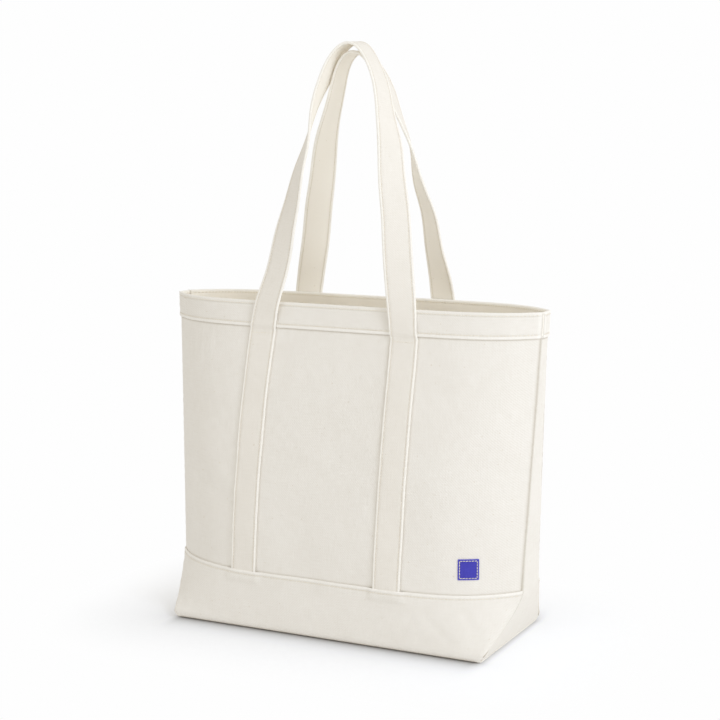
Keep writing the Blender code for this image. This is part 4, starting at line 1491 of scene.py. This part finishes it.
    def build(self, stitching: Topstitching) -> None:
        """Makes the four hems and both rows."""
        shape = self.shape
        for face in Face:
            item, length = self.hem(face, self.columns)
        shares = self.gusset_across.stations(-1.0, 1.0, [-1.0, 1.0])
        for side in Side:
            item, length = self.hem(side, shares)
            2 * self.gusset_reach()
        self.stitch_row("upper", shape.height - self.inset_high, stitching, 21)
        self.stitch_row("lower", shape.hem_bottom + self.inset_low, stitching, 22)


# ---------------------------------------------------------------- Bound seams inside


@dataclass
class SeamBindings(SewnPart):
    """Cotton tape folded around the seam allowances that stand into the bag."""

    width: float = 0.009
    flat_width: float = 0.0101
    thickness: float = 0.0016
    reach: float = 0.98
    gap: float = 0.0003
    foot: float = 0.024
    row: float = 0.004
    wave: float = 0.0006
    wave_length: float = 0.045
    weave_start: float = 7.7

    def binding(self, face: Face, side: Side) -> bpy.types.Object:
        """Binding of one seam."""
        shape = self.shape
        foot = shape.floor_top + shape.floor_rounding + self.foot
        heights = np.arange(foot, shape.hem_bottom - self.gap, self.row)
        girth = shape.girth_at(heights)
        side_array = np.full(heights.shape, float(side.value))
        seam = shape.wall(face, side_array, girth)
        along_wall = shape.wall(face, side_array * self.reach, girth) - seam
        along_wall[:, 2] = 0
        along_gusset = np.array([0.0, -face.value, 0.0])
        inward = unit(unit(along_wall) + along_gusset)
        opening = np.arccos(np.clip(inward @ along_gusset, -1, 1))
        start = (shape.canvas + self.gap + self.thickness / 2) / np.sin(opening)
        start = start + self.body.groove * 0.5
        wave = self.wave * ripple(heights, self.wave_length,
                                  200 + 10 * face.value + side.value)
        shares = np.linspace(0, 1, 7)
        reach = start[:, None] + shares[None, :] * (self.width - self.body.groove * 0.5)
        middle = seam[:, None, :] + inward[:, None, :] * reach[..., None]
        flat_normal = unit(np.cross(inward, np.array([0.0, 0.0, 1.0])))
        normal = np.broadcast_to(flat_normal[:, None, :], middle.shape)
        middle = middle + normal * (wave[:, None] * shares[None, :])[..., None]
        half = self.thickness / 2 * (0.82 + 0.18 * bump(shares, 0.85, 0.2))
        weave = np.stack(np.broadcast_arrays(reach, heights[:, None] + self.weave_start), -1)
        name = f"{face.label}_{side.label}_seam_binding"
        # The tape looks into the bag and gets painted light
        sheet = Sheet(f"{name}_tape", middle, normal, weave, half, half, turned_in=1.0)
        item = self.finishes.dress(sheet.build(), Slot.TAPE, [name])
        return item

    def build(self) -> None:
        """Makes the four bindings."""
        for face in Face:
            for side in Side:
                self.binding(face, side)


# ---------------------------------------------------------------- Straps


@dataclass
class StrapHandle(SewnPart):
    """One strap: sewn up the wall, free over the top as a handle, and sewn down again."""

    face: Face
    crown: float
    lean_end: float
    lean_power: float
    shoulder: float = 0.0
    left_ease: float = 0.0
    shoulder_rise: float = 0.90
    shoulder_spread: float = 0.22
    shift_end: float = 0.17
    twist_rises: tuple[float, ...] = (0.01, 0.16, 0.52, 0.88)
    twist_angles: tuple[float, ...] = (0.0, 18.0, 46.0, 90.0)
    twist_reach: int = 150
    soft_reach: int = 7
    left_ease_turn: float = 9.0
    left_ease_shift: float = 0.0038
    thickness: float = 0.0024
    half_width: float = 0.017
    stitch_line: float = 0.0138
    stitch_width: float = 0.0007
    gap: float = 0.0003
    tuck: float = 0.009
    hem_offset: float = 0.0041
    straight: float = 0.0015
    ridge: float = 0.00050
    ridge_line: Bell = Bell(0.0157, 0.0011)
    # Folded edges lightened: rubbing and a painted highlight
    edge_wear_and_highlight: tuple[float, float] = (0.0142, 0.0150)
    groove: float = 0.00034
    filling: float = 0.92
    across: Spacing = Spacing(0.00036, 0.0040, 0.0018)
    wave: float = 0.0009
    wave_length: float = 0.11
    edge_wave: float = 0.00045
    edge_wave_length: float = 0.085
    drift: float = 0.0005
    drift_length: float = 0.12
    cup: float = 0.00022
    spacing: float = 0.0030
    bend_start: float = -0.0006
    bend_end: float = 0.0085
    station: np.ndarray = field(init=False)
    centre: np.ndarray = field(init=False)
    normal: np.ndarray = field(init=False)
    tangent: np.ndarray = field(init=False)
    hold: np.ndarray = field(init=False)
    offset: np.ndarray = field(init=False)
    turn_sign: np.ndarray = field(init=False)

    @property
    def foot(self) -> float:
        """Height at which the strap comes free."""
        return self.shape.cross_stitch_height + self.gap / 2

    @property
    def length(self) -> float:
        """Length of the strap from end to end."""
        return float(self.station[-1])

    def climb(self, height: np.ndarray) -> np.ndarray:
        """Distance of the strap's middle from the wall, rising on to the hem."""
        low = self.gap + self.thickness / 2
        rise = smooth(height, self.foot + self.straight - 0.0006, self.shape.hem_bottom + 0.0012)
        return low + (self.hem_offset - low) * rise

    def turned(self, height: np.ndarray) -> np.ndarray:
        """How far the strap has turned edge to front at a height, in radians."""
        rise = (height - self.foot) / (self.crown - self.foot)
        return np.radians(np.interp(rise, self.twist_rises, self.twist_angles))

    def easing(self, height: np.ndarray, left: np.ndarray) -> np.ndarray:
        """How far the left leg hangs straighter than the right one, from 0 to its full ease."""
        low, high = self.shape.cross_stitch_height, self.crown
        middle = low + 0.42 * (high - low)
        hump = smooth(height, low, middle - 0.03) * (1 - smooth(height, middle, high - 0.04))
        return self.left_ease * hump * left

    def loop(self) -> np.ndarray:
        """Centre line of the free part: a parabola with shoulders that leans in over the mouth."""
        shape = self.shape
        left, right = (shape.strap_centre(self.face, side, np.array(self.foot)) for side in Side)
        turn = np.linspace(0, np.pi, 2401)
        share = np.sin(turn) ** 2
        height = self.foot + (self.crown - self.foot) * share
        widening = 1 + self.shoulder * bump(share, self.shoulder_rise, self.shoulder_spread)
        settled = np.clip((height - shape.height) / self.shift_end, 0, 1)
        x = (left + right) / 2 * (1 - settled) - (right - left) / 2 * np.cos(turn) * widening
        x = x + self.left_ease_shift * self.easing(height, turn < np.pi / 2)
        low = np.minimum(height, shape.height)
        offset = self.climb(low) + np.sin(self.turned(low)) * self.half_width
        distance = shape.half_depth(low) + offset
        free = np.clip((height - shape.height) / (self.crown - shape.height), 0, 1)
        distance = distance + (self.lean_end - distance) * free ** self.lean_power
        return np.stack([x, self.face.value * distance, height], -1)

    def leg(self, side: Side) -> np.ndarray:
        """Centre line of a sewn part, from its tucked end up to where it comes free."""
        shape = self.shape
        heights = np.linspace(shape.flare_height - self.tuck, self.foot, 300)[:-1]
        across = shape.strap_centre(self.face, side, heights) / shape.half_width(heights)
        girth = shape.girth_at(heights)
        plain = shape.wall(self.face, across, girth)
        out = shape.wall_normal(self.face, across, girth)
        return plain + out * (self.gap + self.thickness / 2)

    def __post_init__(self) -> None:
        """Works out the strap's centre line and how it turns along it."""
        shape, face = self.shape, self.face.value
        line = np.concatenate([self.leg(Side.LEFT), self.loop(), self.leg(Side.RIGHT)[::-1]])
        steps = np.linalg.norm(np.diff(line, axis=0), axis=1)
        line = line[np.concatenate([[True], steps > 1e-7])]
        run = travelled(line)
        self.station = np.linspace(0, run[-1], 4001)
        line = np.stack([np.interp(self.station, run, axis) for axis in line.T], -1)
        soft = np.stack([softened(axis, self.soft_reach) for axis in line.T], -1)
        ends = self.soft_reach + 1
        soft[:ends], soft[-ends:] = line[:ends], line[-ends:]
        rising = self.station < self.length / 2
        self.centre = soft
        self.tangent = unit(np.gradient(soft, axis=0))
        facing = np.array([0.0, face, 0.0])
        facing = unit(facing - self.tangent * (self.tangent @ facing)[:, None])
        outward = np.cross(facing, self.tangent) * -face
        eased = np.radians(self.left_ease_turn) * self.easing(soft[:, 2], rising)
        twist = softened(self.turned(soft[:, 2]) - eased, self.twist_reach)[:, None]
        self.normal = facing * np.cos(twist) + outward * np.sin(twist)
        self.hold = 1 - smooth(soft[:, 2], shape.cross_stitch_height, shape.height - 0.006)
        self.offset = self.climb(soft[:, 2])
        self.turn_sign = np.where(rising, -face, face).astype(float)

    def at(self, values: np.ndarray, stations: np.ndarray) -> np.ndarray:
        """Values along the strap, read at the stations."""
        if values.ndim == 1:
            return np.interp(stations, self.station, values)
        return np.stack([np.interp(stations, self.station, axis) for axis in values.T], -1)

    def station_at(self, height: float) -> float:
        """Distance along the strap at which its first leg reaches a height."""
        rising = self.station < self.length / 2
        return float(np.interp(height, self.centre[rising, 2], self.station[rising]))

    def surface(self, stations: np.ndarray, lateral: np.ndarray) -> tuple[np.ndarray, np.ndarray]:
        """Points on the strap's middle surface and its outward directions.

        Args:
            stations: Distances along the strap.
            lateral: Distances from its centre line, of the same shape.

        Returns:
            Points and unit directions.
        """
        centre = self.at(self.centre, stations)
        normal = unit(self.at(self.normal, stations))
        wide = np.cross(unit(self.at(self.tangent, stations)), normal)
        hold = self.at(self.hold, stations)
        free = 1 - hold
        seed = 300 + self.face.value
        share = lateral / self.half_width
        wave = self.wave * ripple(stations, self.wave_length, seed)
        wave = wave + self.edge_wave * share * ripple(stations, self.edge_wave_length, seed + 3)
        drift = self.drift * ripple(stations, self.drift_length, seed + 5)
        loose = centre + wide * (lateral + free * drift)[..., None]
        loose = loose + normal * (free * (wave - self.cup * share ** 2))[..., None]
        sign = np.where(self.at(self.turn_sign, stations) < 0, -1.0, 1.0)
        height = np.minimum(centre[..., 2], self.shape.height - 0.001)
        held, out = self.body.at_height(
            self.face, centre[..., 0] + sign * lateral, height, self.at(self.offset, stations))
        held[..., 2] = centre[..., 2]
        hold, free = hold[..., None], free[..., None]
        return held * hold + loose * free, unit(out * hold + normal * free)

    def half_thickness(self, lateral: np.ndarray) -> np.ndarray:
        """Half the strap's thickness: folded edges stand up, and the stitches draw it in."""
        away = np.abs(lateral)
        edge = self.ridge * self.ridge_line.at(away)
        line = self.groove * bump(away, self.stitch_line, self.stitch_width)
        return self.thickness / 2 * self.filling + edge - line

    def laterals(self) -> np.ndarray:
        """Stations across the strap, closer together at its edges."""
        reach = self.half_width - self.thickness / 2 - self.ridge / 2
        marks = [-reach, -self.stitch_line, self.stitch_line, reach]
        return self.across.stations(-reach, reach, marks)

    def build(self) -> bpy.types.Object:
        """Makes the whole strap as one piece that bends where it comes free."""
        stations = np.linspace(0, self.length, int(self.length / self.spacing) + 1)
        lateral, station = np.meshgrid(self.laterals(), stations)
        middle, normal = self.surface(station, lateral)
        half = self.half_thickness(lateral)
        away = np.abs(lateral)
        weave = np.stack([lateral + 11.0 + 2 * self.face.value, station], -1)
        name = self.face.label
        # Edges lightened for rubbing and as a painted highlight; stitch grooves get painted shade
        sheet = Sheet(f"{name}_strap_handle", middle, normal, weave, half, half,
                      smooth(away, *self.edge_wear_and_highlight),
                      0.5 * bump(away, self.stitch_line, self.stitch_width))
        nodes = [f"{name}_left_strap", f"{name}_right_strap", f"{name}_handle_loop"]
        item = self.bend(self.finishes.dress(sheet.build(), Slot.STRAP, nodes, rides=False))
        return item

    def bend(self, item: bpy.types.Object) -> bpy.types.Object:
        """Bakes a piece's placement into its mesh. The bend heights go unused."""
        low, high = (Vector((0, 0, self.shape.cross_stitch_height + past))
                     for past in (self.bend_start, self.bend_end))
        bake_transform(item)
        return item

    def stitches(self, stitching: Topstitching) -> bpy.types.Object:
        """Topstitching near both edges, on both faces where the strap is free, and cross rows."""
        shape, length = self.shape, self.length
        foot = self.station_at(shape.flare_height + 0.0015)
        free = self.station_at(shape.cross_stitch_height + 0.004)
        cross = self.station_at(shape.cross_stitch_height - 0.0026)
        above = stitching.thread * 0.20
        runs = []

        def lay(ends: tuple[float, float], sides: tuple[float, float], turn: float) -> None:
            """Adds a run between two stations and two distances from the centre line."""
            def path(share: np.ndarray) -> tuple[np.ndarray, np.ndarray]:
                """Points along the run."""
                station = ends[0] + (ends[1] - ends[0]) * share
                lateral = sides[0] + (sides[1] - sides[0]) * share
                points, out = self.surface(station, lateral)
                lift = self.half_thickness(lateral) + above
                return points + out * (turn * lift)[..., None], out * turn

            reach = math.hypot(ends[1] - ends[0], sides[1] - sides[0])
            runs.append(StitchRun.on(path, reach, stitching.pitch))

        for line in (-self.stitch_line, self.stitch_line):
            lay((foot, length - foot), (line, line), 1.0)
            lay((free, length - free), (line, line), -1.0)
        inset = self.stitch_line * 0.93
        for station in (cross, length - cross):
            lay((station, station), (-inset, inset), 1.0)
        name = self.face.label
        nodes = [f"{name}_left_strap_stitching", f"{name}_right_strap_stitching",
                 f"{name}_handle_stitching"]
        return self.bend(stitching.build(f"{name}_strap_stitches", runs, self.finishes, nodes,
                                         31 + self.face.value, rides=False))


# ---------------------------------------------------------------- Patch


@dataclass
class Patch(SewnPart):
    """A plain square of dyed cloth sewn low on the front."""

    size: float = 0.024
    thickness: float = 0.0008
    from_seam: float = 0.0505
    height: float = 0.102
    inset: float = 0.002
    gap: float = 0.0002
    ridge: float = 0.00028
    ridge_line: Bell = Bell(0.0008, 0.0008)
    # Folded edge lightened: rubbing and a painted highlight
    edge_wear_and_highlight: Bell = Bell(0.0003, 0.0007)
    groove: float = 0.0002
    stitch_width: float = 0.0006
    spacing: Spacing = Spacing(0.0004, 0.0016, 0.0012)
    weave_start: float = 0.3

    def point(self, across: np.ndarray, up: np.ndarray,
              offset: float) -> tuple[np.ndarray, np.ndarray]:
        """Points on the patch, measured from its middle along the front of the bag."""
        shape = self.shape
        middle = float(shape.half_width(np.array(self.height))) - self.from_seam
        ends = np.array([middle - self.size / 2, middle + self.size / 2])
        z = np.full(2, self.height)
        on_wall = shape.wall(Face.FRONT, ends / shape.half_width(z), shape.girth_at(z))
        stretch = self.size / np.linalg.norm(on_wall[1] - on_wall[0])
        x = middle + across * stretch
        return self.body.at_height(Face.FRONT, x, self.height + up, offset)

    def cloth(self) -> bpy.types.Object:
        """Makes the patch."""
        half = self.thickness / 2
        reach = self.size / 2 - half
        stitched = self.size / 2 - self.inset
        line = self.spacing.stations(-reach, reach, [-reach, reach, -stitched, stitched])
        across, up = np.meshgrid(line, line)
        edge = self.size / 2 - np.maximum(np.abs(across), np.abs(up))
        rows = bump(edge, self.inset, self.stitch_width)
        middle, normal = self.point(across, up, self.gap + half)
        outer = half + self.ridge * self.ridge_line.at(edge) - self.groove * rows
        weave = np.stack([across + self.weave_start, up + self.weave_start], -1)
        # Edges lightened for rubbing and as a painted highlight; stitch rows get painted shade
        sheet = Sheet("blue_patch", middle, normal, weave, outer, half,
                      self.edge_wear_and_highlight.at(edge), rows)
        item = self.finishes.dress(sheet.build(), Slot.BLUE, ["patch"])
        return item

    def stitches(self, stitching: Topstitching) -> bpy.types.Object:
        """Makes the stitches along its four sides."""
        reach = self.size / 2 - self.inset
        above = self.gap + self.thickness + stitching.thread * 0.1
        runs = []
        for turn in range(4):
            def row(share: np.ndarray) -> tuple[np.ndarray, np.ndarray]:
                """Points along one side."""
                line, fixed = (2 * share - 1) * reach, np.full(share.shape, reach)
                across, up = ((line, fixed), (fixed, line), (line, -fixed), (-fixed, line))[turn]
                return self.point(across, up, above)

            runs.append(StitchRun.on(row, 2 * reach, stitching.pitch))
        return stitching.build("patch_stitches", runs, self.finishes, ["patch_stitching"], 41)


# ---------------------------------------------------------------- Studio


def look_back(data: bpy.types.Camera | bpy.types.Light, azimuth: float, elevation: float,
              distance: float, target: tuple[float, float, float]) -> bpy.types.Object:
    """Places a camera or a lamp so that it looks at a target.

    Args:
        data: The camera or lamp.
        azimuth: Degrees to the right of the bag's front.
        elevation: Degrees above the horizontal.
        distance: Distance from the target.
        target: What it looks at.

    Returns:
        The placed object.
    """
    turn, tilt = math.radians(azimuth), math.radians(elevation)
    away = Vector((math.sin(turn) * math.cos(tilt), -math.cos(turn) * math.cos(tilt),
                   math.sin(tilt)))
    item = linked(data.name, data)
    item.location = Vector(target) + away * distance
    item.rotation_euler = away.to_track_quat("Z", "Y").to_euler()
    return item


@dataclass(frozen=True)
class Lamp:
    """One large soft round lamp that looks at the bag."""

    name: str
    azimuth: float
    elevation: float
    distance: float
    size: float
    power: float
    colour: str
    target: tuple[float, float, float] = (0.0, 0.0, 0.3)

    def build(self) -> None:
        """Makes the lamp."""
        data = bpy.data.lights.new(self.name, "AREA")
        data.shape = "DISK"
        data.size = self.size
        data.energy = self.power
        data.color = linear(self.colour)[:3]
        look_back(data, self.azimuth, self.elevation, self.distance, self.target)


LAMPS = (
    Lamp("key", 66.0, 38.0, 2.2, 0.6, 8.8, "#EAF2FF"),
    Lamp("front_fill", 0.0, 25.0, 2.6, 2.0, 3.0, "#FFFFFF"),
    Lamp("back", 130.0, 25.0, 2.4, 1.8, 5.5, "#FFFFFF"),
    Lamp("low_side", 66.0, 6.0, 2.4, 1.2, 6.2, "#F4F8FF"),
)


@dataclass(frozen=True)
class Floor:
    """A wide round paper floor that fades into white and keeps the bag's shadow.

    Close to the base it darkens as if under an edge: fully in front, a little on the left and
    hardly on the lit right side.
    """

    rings: tuple[float, ...] = (0.4, 0.8, 1.4, 2.4, 5.0, 12.0)
    spokes: int = 48
    paper: str = "#F4F4F4"
    seen_paper: str = "#F1F4FA"
    glow: float = 0.125
    fade_start: float = 0.01
    fade_end: float = 0.17
    # Colour of the painted contact shadow
    contact: str = "#4A3F2C"
    contact_reach: float = 0.017
    contact_front: float = 0.9
    contact_right: float = 0.05
    contact_left: float = 0.3
    right_edge: tuple[float, float] = (-0.01, 0.015)
    left_edge: tuple[float, float] = (-0.012, 0.004)

    def mesh(self) -> bpy.types.Mesh:
        """A disc of rings around a middle point."""
        count = self.spokes
        turns = np.linspace(0, 2 * np.pi, count + 1)[:-1]
        points = [(0.0, 0.0, 0.0)]
        points += [(r * math.cos(t), r * math.sin(t), 0.0) for r in self.rings for t in turns]
        faces = [(0, 1 + i, 1 + (i + 1) % count) for i in range(count)]
        for ring in range(len(self.rings) - 1):
            low, high = 1 + ring * count, 1 + (ring + 1) * count
            faces += [(low + i, high + i, high + (i + 1) % count, low + (i + 1) % count)
                      for i in range(count)]
        mesh = bpy.data.meshes.new("studio_floor")
        mesh.from_pydata(points, [], faces)
        return mesh

    def contact_shade(self, nodes: Nodes, place: Socket, reach: Socket, edge: float) -> Socket:
        """How much painted contact shadow the floor takes beside the base.

        Args:
            nodes: Where the nodes go.
            place: Point of the floor.
            reach: Its distance from the base.
            edge: Distance of the base's ends from the middle plane.

        Returns:
            The share of the contact colour.
        """
        across = nodes.add("ShaderNodeSeparateXYZ", {0: place}, "X")
        close = nodes.math("MULTIPLY", reach, -1 / self.contact_reach)
        close = nodes.math("EXPONENT", close)
        right = nodes.remap(across, edge + self.right_edge[0], edge + self.right_edge[1],
                            self.contact_front, self.contact_right, "SMOOTHSTEP")
        left = nodes.remap(across, -edge + self.left_edge[0], -edge + self.left_edge[1],
                           self.contact_left, 1.0, "SMOOTHSTEP")
        return nodes.math("MULTIPLY", nodes.math("MULTIPLY", close, right), left)

    def build(self) -> None:
        """Makes the floor and its material."""
        mesh = self.mesh()
        material = bpy.data.materials.new("pale_paper")
        nodes = Nodes.cleared(material)
        place = nodes.add("ShaderNodeTexCoord", None, "Object")
        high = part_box("base_panel")[1]
        folded = nodes.add("ShaderNodeVectorMath", {0: place}, operation="ABSOLUTE")
        past = nodes.add("ShaderNodeVectorMath", {0: folded, 1: (high[0], high[1], 0.0)},
                         operation="SUBTRACT")
        past = nodes.add("ShaderNodeVectorMath", {0: past, 1: (0.0, 0.0, 0.0)},
                         operation="MAXIMUM")
        reach = nodes.add("ShaderNodeVectorMath", {0: past}, "Value", operation="LENGTH")
        lit = nodes.add("ShaderNodeAddShader", {
            0: nodes.diffuse(self.seen_paper), 1: nodes.emission("#FFFFFF", self.glow)})
        shade = self.contact_shade(nodes, place, reach, high[0])
        lit = nodes.mix(shade, lit, nodes.diffuse(self.contact))
        fade = nodes.remap(reach, self.fade_start, self.fade_end, curve="SMOOTHSTEP")
        seen = nodes.mix(fade, lit, nodes.emission("#FEFEFE", 1.0))
        shown = nodes.mix(nodes.surroundings_seen(), nodes.diffuse(self.paper), seen)
        nodes.node("ShaderNodeOutputMaterial", {"Surface": shown})
        mesh.materials.append(material)
        linked("studio_floor", mesh)


@dataclass(frozen=True)
class Studio:
    """Pale surroundings, a paper floor, soft lamps and the camera."""

    azimuth: float = 26.22
    elevation: float = 8.65
    distance: float = 2.007
    lens: float = 84.3
    sensor: float = 36.0
    target: tuple[float, float, float] = (0.005, 0.0, 0.3196)
    ambient: float = 0.78
    bounces: int = 12

    def camera(self) -> None:
        """Places the camera at a gentle height in front and to the right."""
        data = bpy.data.cameras.new("camera")
        data.lens = self.lens
        data.sensor_width = self.sensor
        bpy.context.scene.camera = look_back(data, self.azimuth, self.elevation, self.distance,
                                             self.target)

    def world(self) -> None:
        """Even pale surroundings, shown to the camera as plain white."""
        world = bpy.data.worlds.new("studio")
        bpy.context.scene.world = world
        nodes = Nodes.cleared(world)
        light, white = (nodes.add("ShaderNodeBackground", {"Color": linear(code),
                                  "Strength": strength})
                        for code, strength in (("#FFFBF3", self.ambient), ("#FEFEFE", 1.0)))
        shown = nodes.mix(nodes.surroundings_seen(), light, white)
        nodes.node("ShaderNodeOutputWorld", {"Surface": shown})

    def build(self) -> None:
        """Sets up the whole studio."""
        scene = bpy.context.scene
        scene.view_settings.view_transform = "Standard"
        scene.cycles.max_bounces = self.bounces
        scene.cycles.diffuse_bounces = self.bounces
        self.world()
        Floor().build()
        for lamp in LAMPS:
            lamp.build()
        self.camera()


# ---------------------------------------------------------------- Whole bag


def check_shape(shape: BagShape) -> None:
    """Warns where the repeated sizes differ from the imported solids."""
    low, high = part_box("front_hem")
    for label, ours, packed in (("height", shape.height, high[2]),
                                ("rim width", shape.rim_width, high[0] - low[0])):
        if abs(ours - packed) > 0.004:
            LOG.warning("%s: %.4f here and %.4f in the solids", label, ours, packed)


def main() -> None:
    """Builds the bag piece by piece and then the studio."""
    logging.basicConfig(level=logging.INFO, format="%(name)s %(message)s")
    shape = BagShape()
    check_shape(shape)
    body, finishes, stitching = ClothBody(shape), Finishes(), Topstitching()
    canvas = CanvasBody(body, finishes)
    canvas.build()
    columns = canvas.seam_columns()
    band = BaseBand(body, finishes, columns)
    band.build()
    for face in Face:
        band.stitches(face, stitching)
    RimHems(body, finishes, columns).build(stitching)
    SeamBindings(body, finishes).build()
    front = StrapHandle(body, finishes, Face.FRONT, crown=0.6905, lean_end=0.004, lean_power=1.0,
                        shoulder=0.11, left_ease=1.0)
    back = StrapHandle(body, finishes, Face.BACK, crown=0.6800, lean_end=0.006, lean_power=1.3)
    for handle in (front, back):
        handle.build()
        handle.stitches(stitching)
    patch = Patch(body, finishes)
    patch.cloth()
    patch.stitches(stitching)
    Studio().build()


if __name__ == "__main__":
    main()
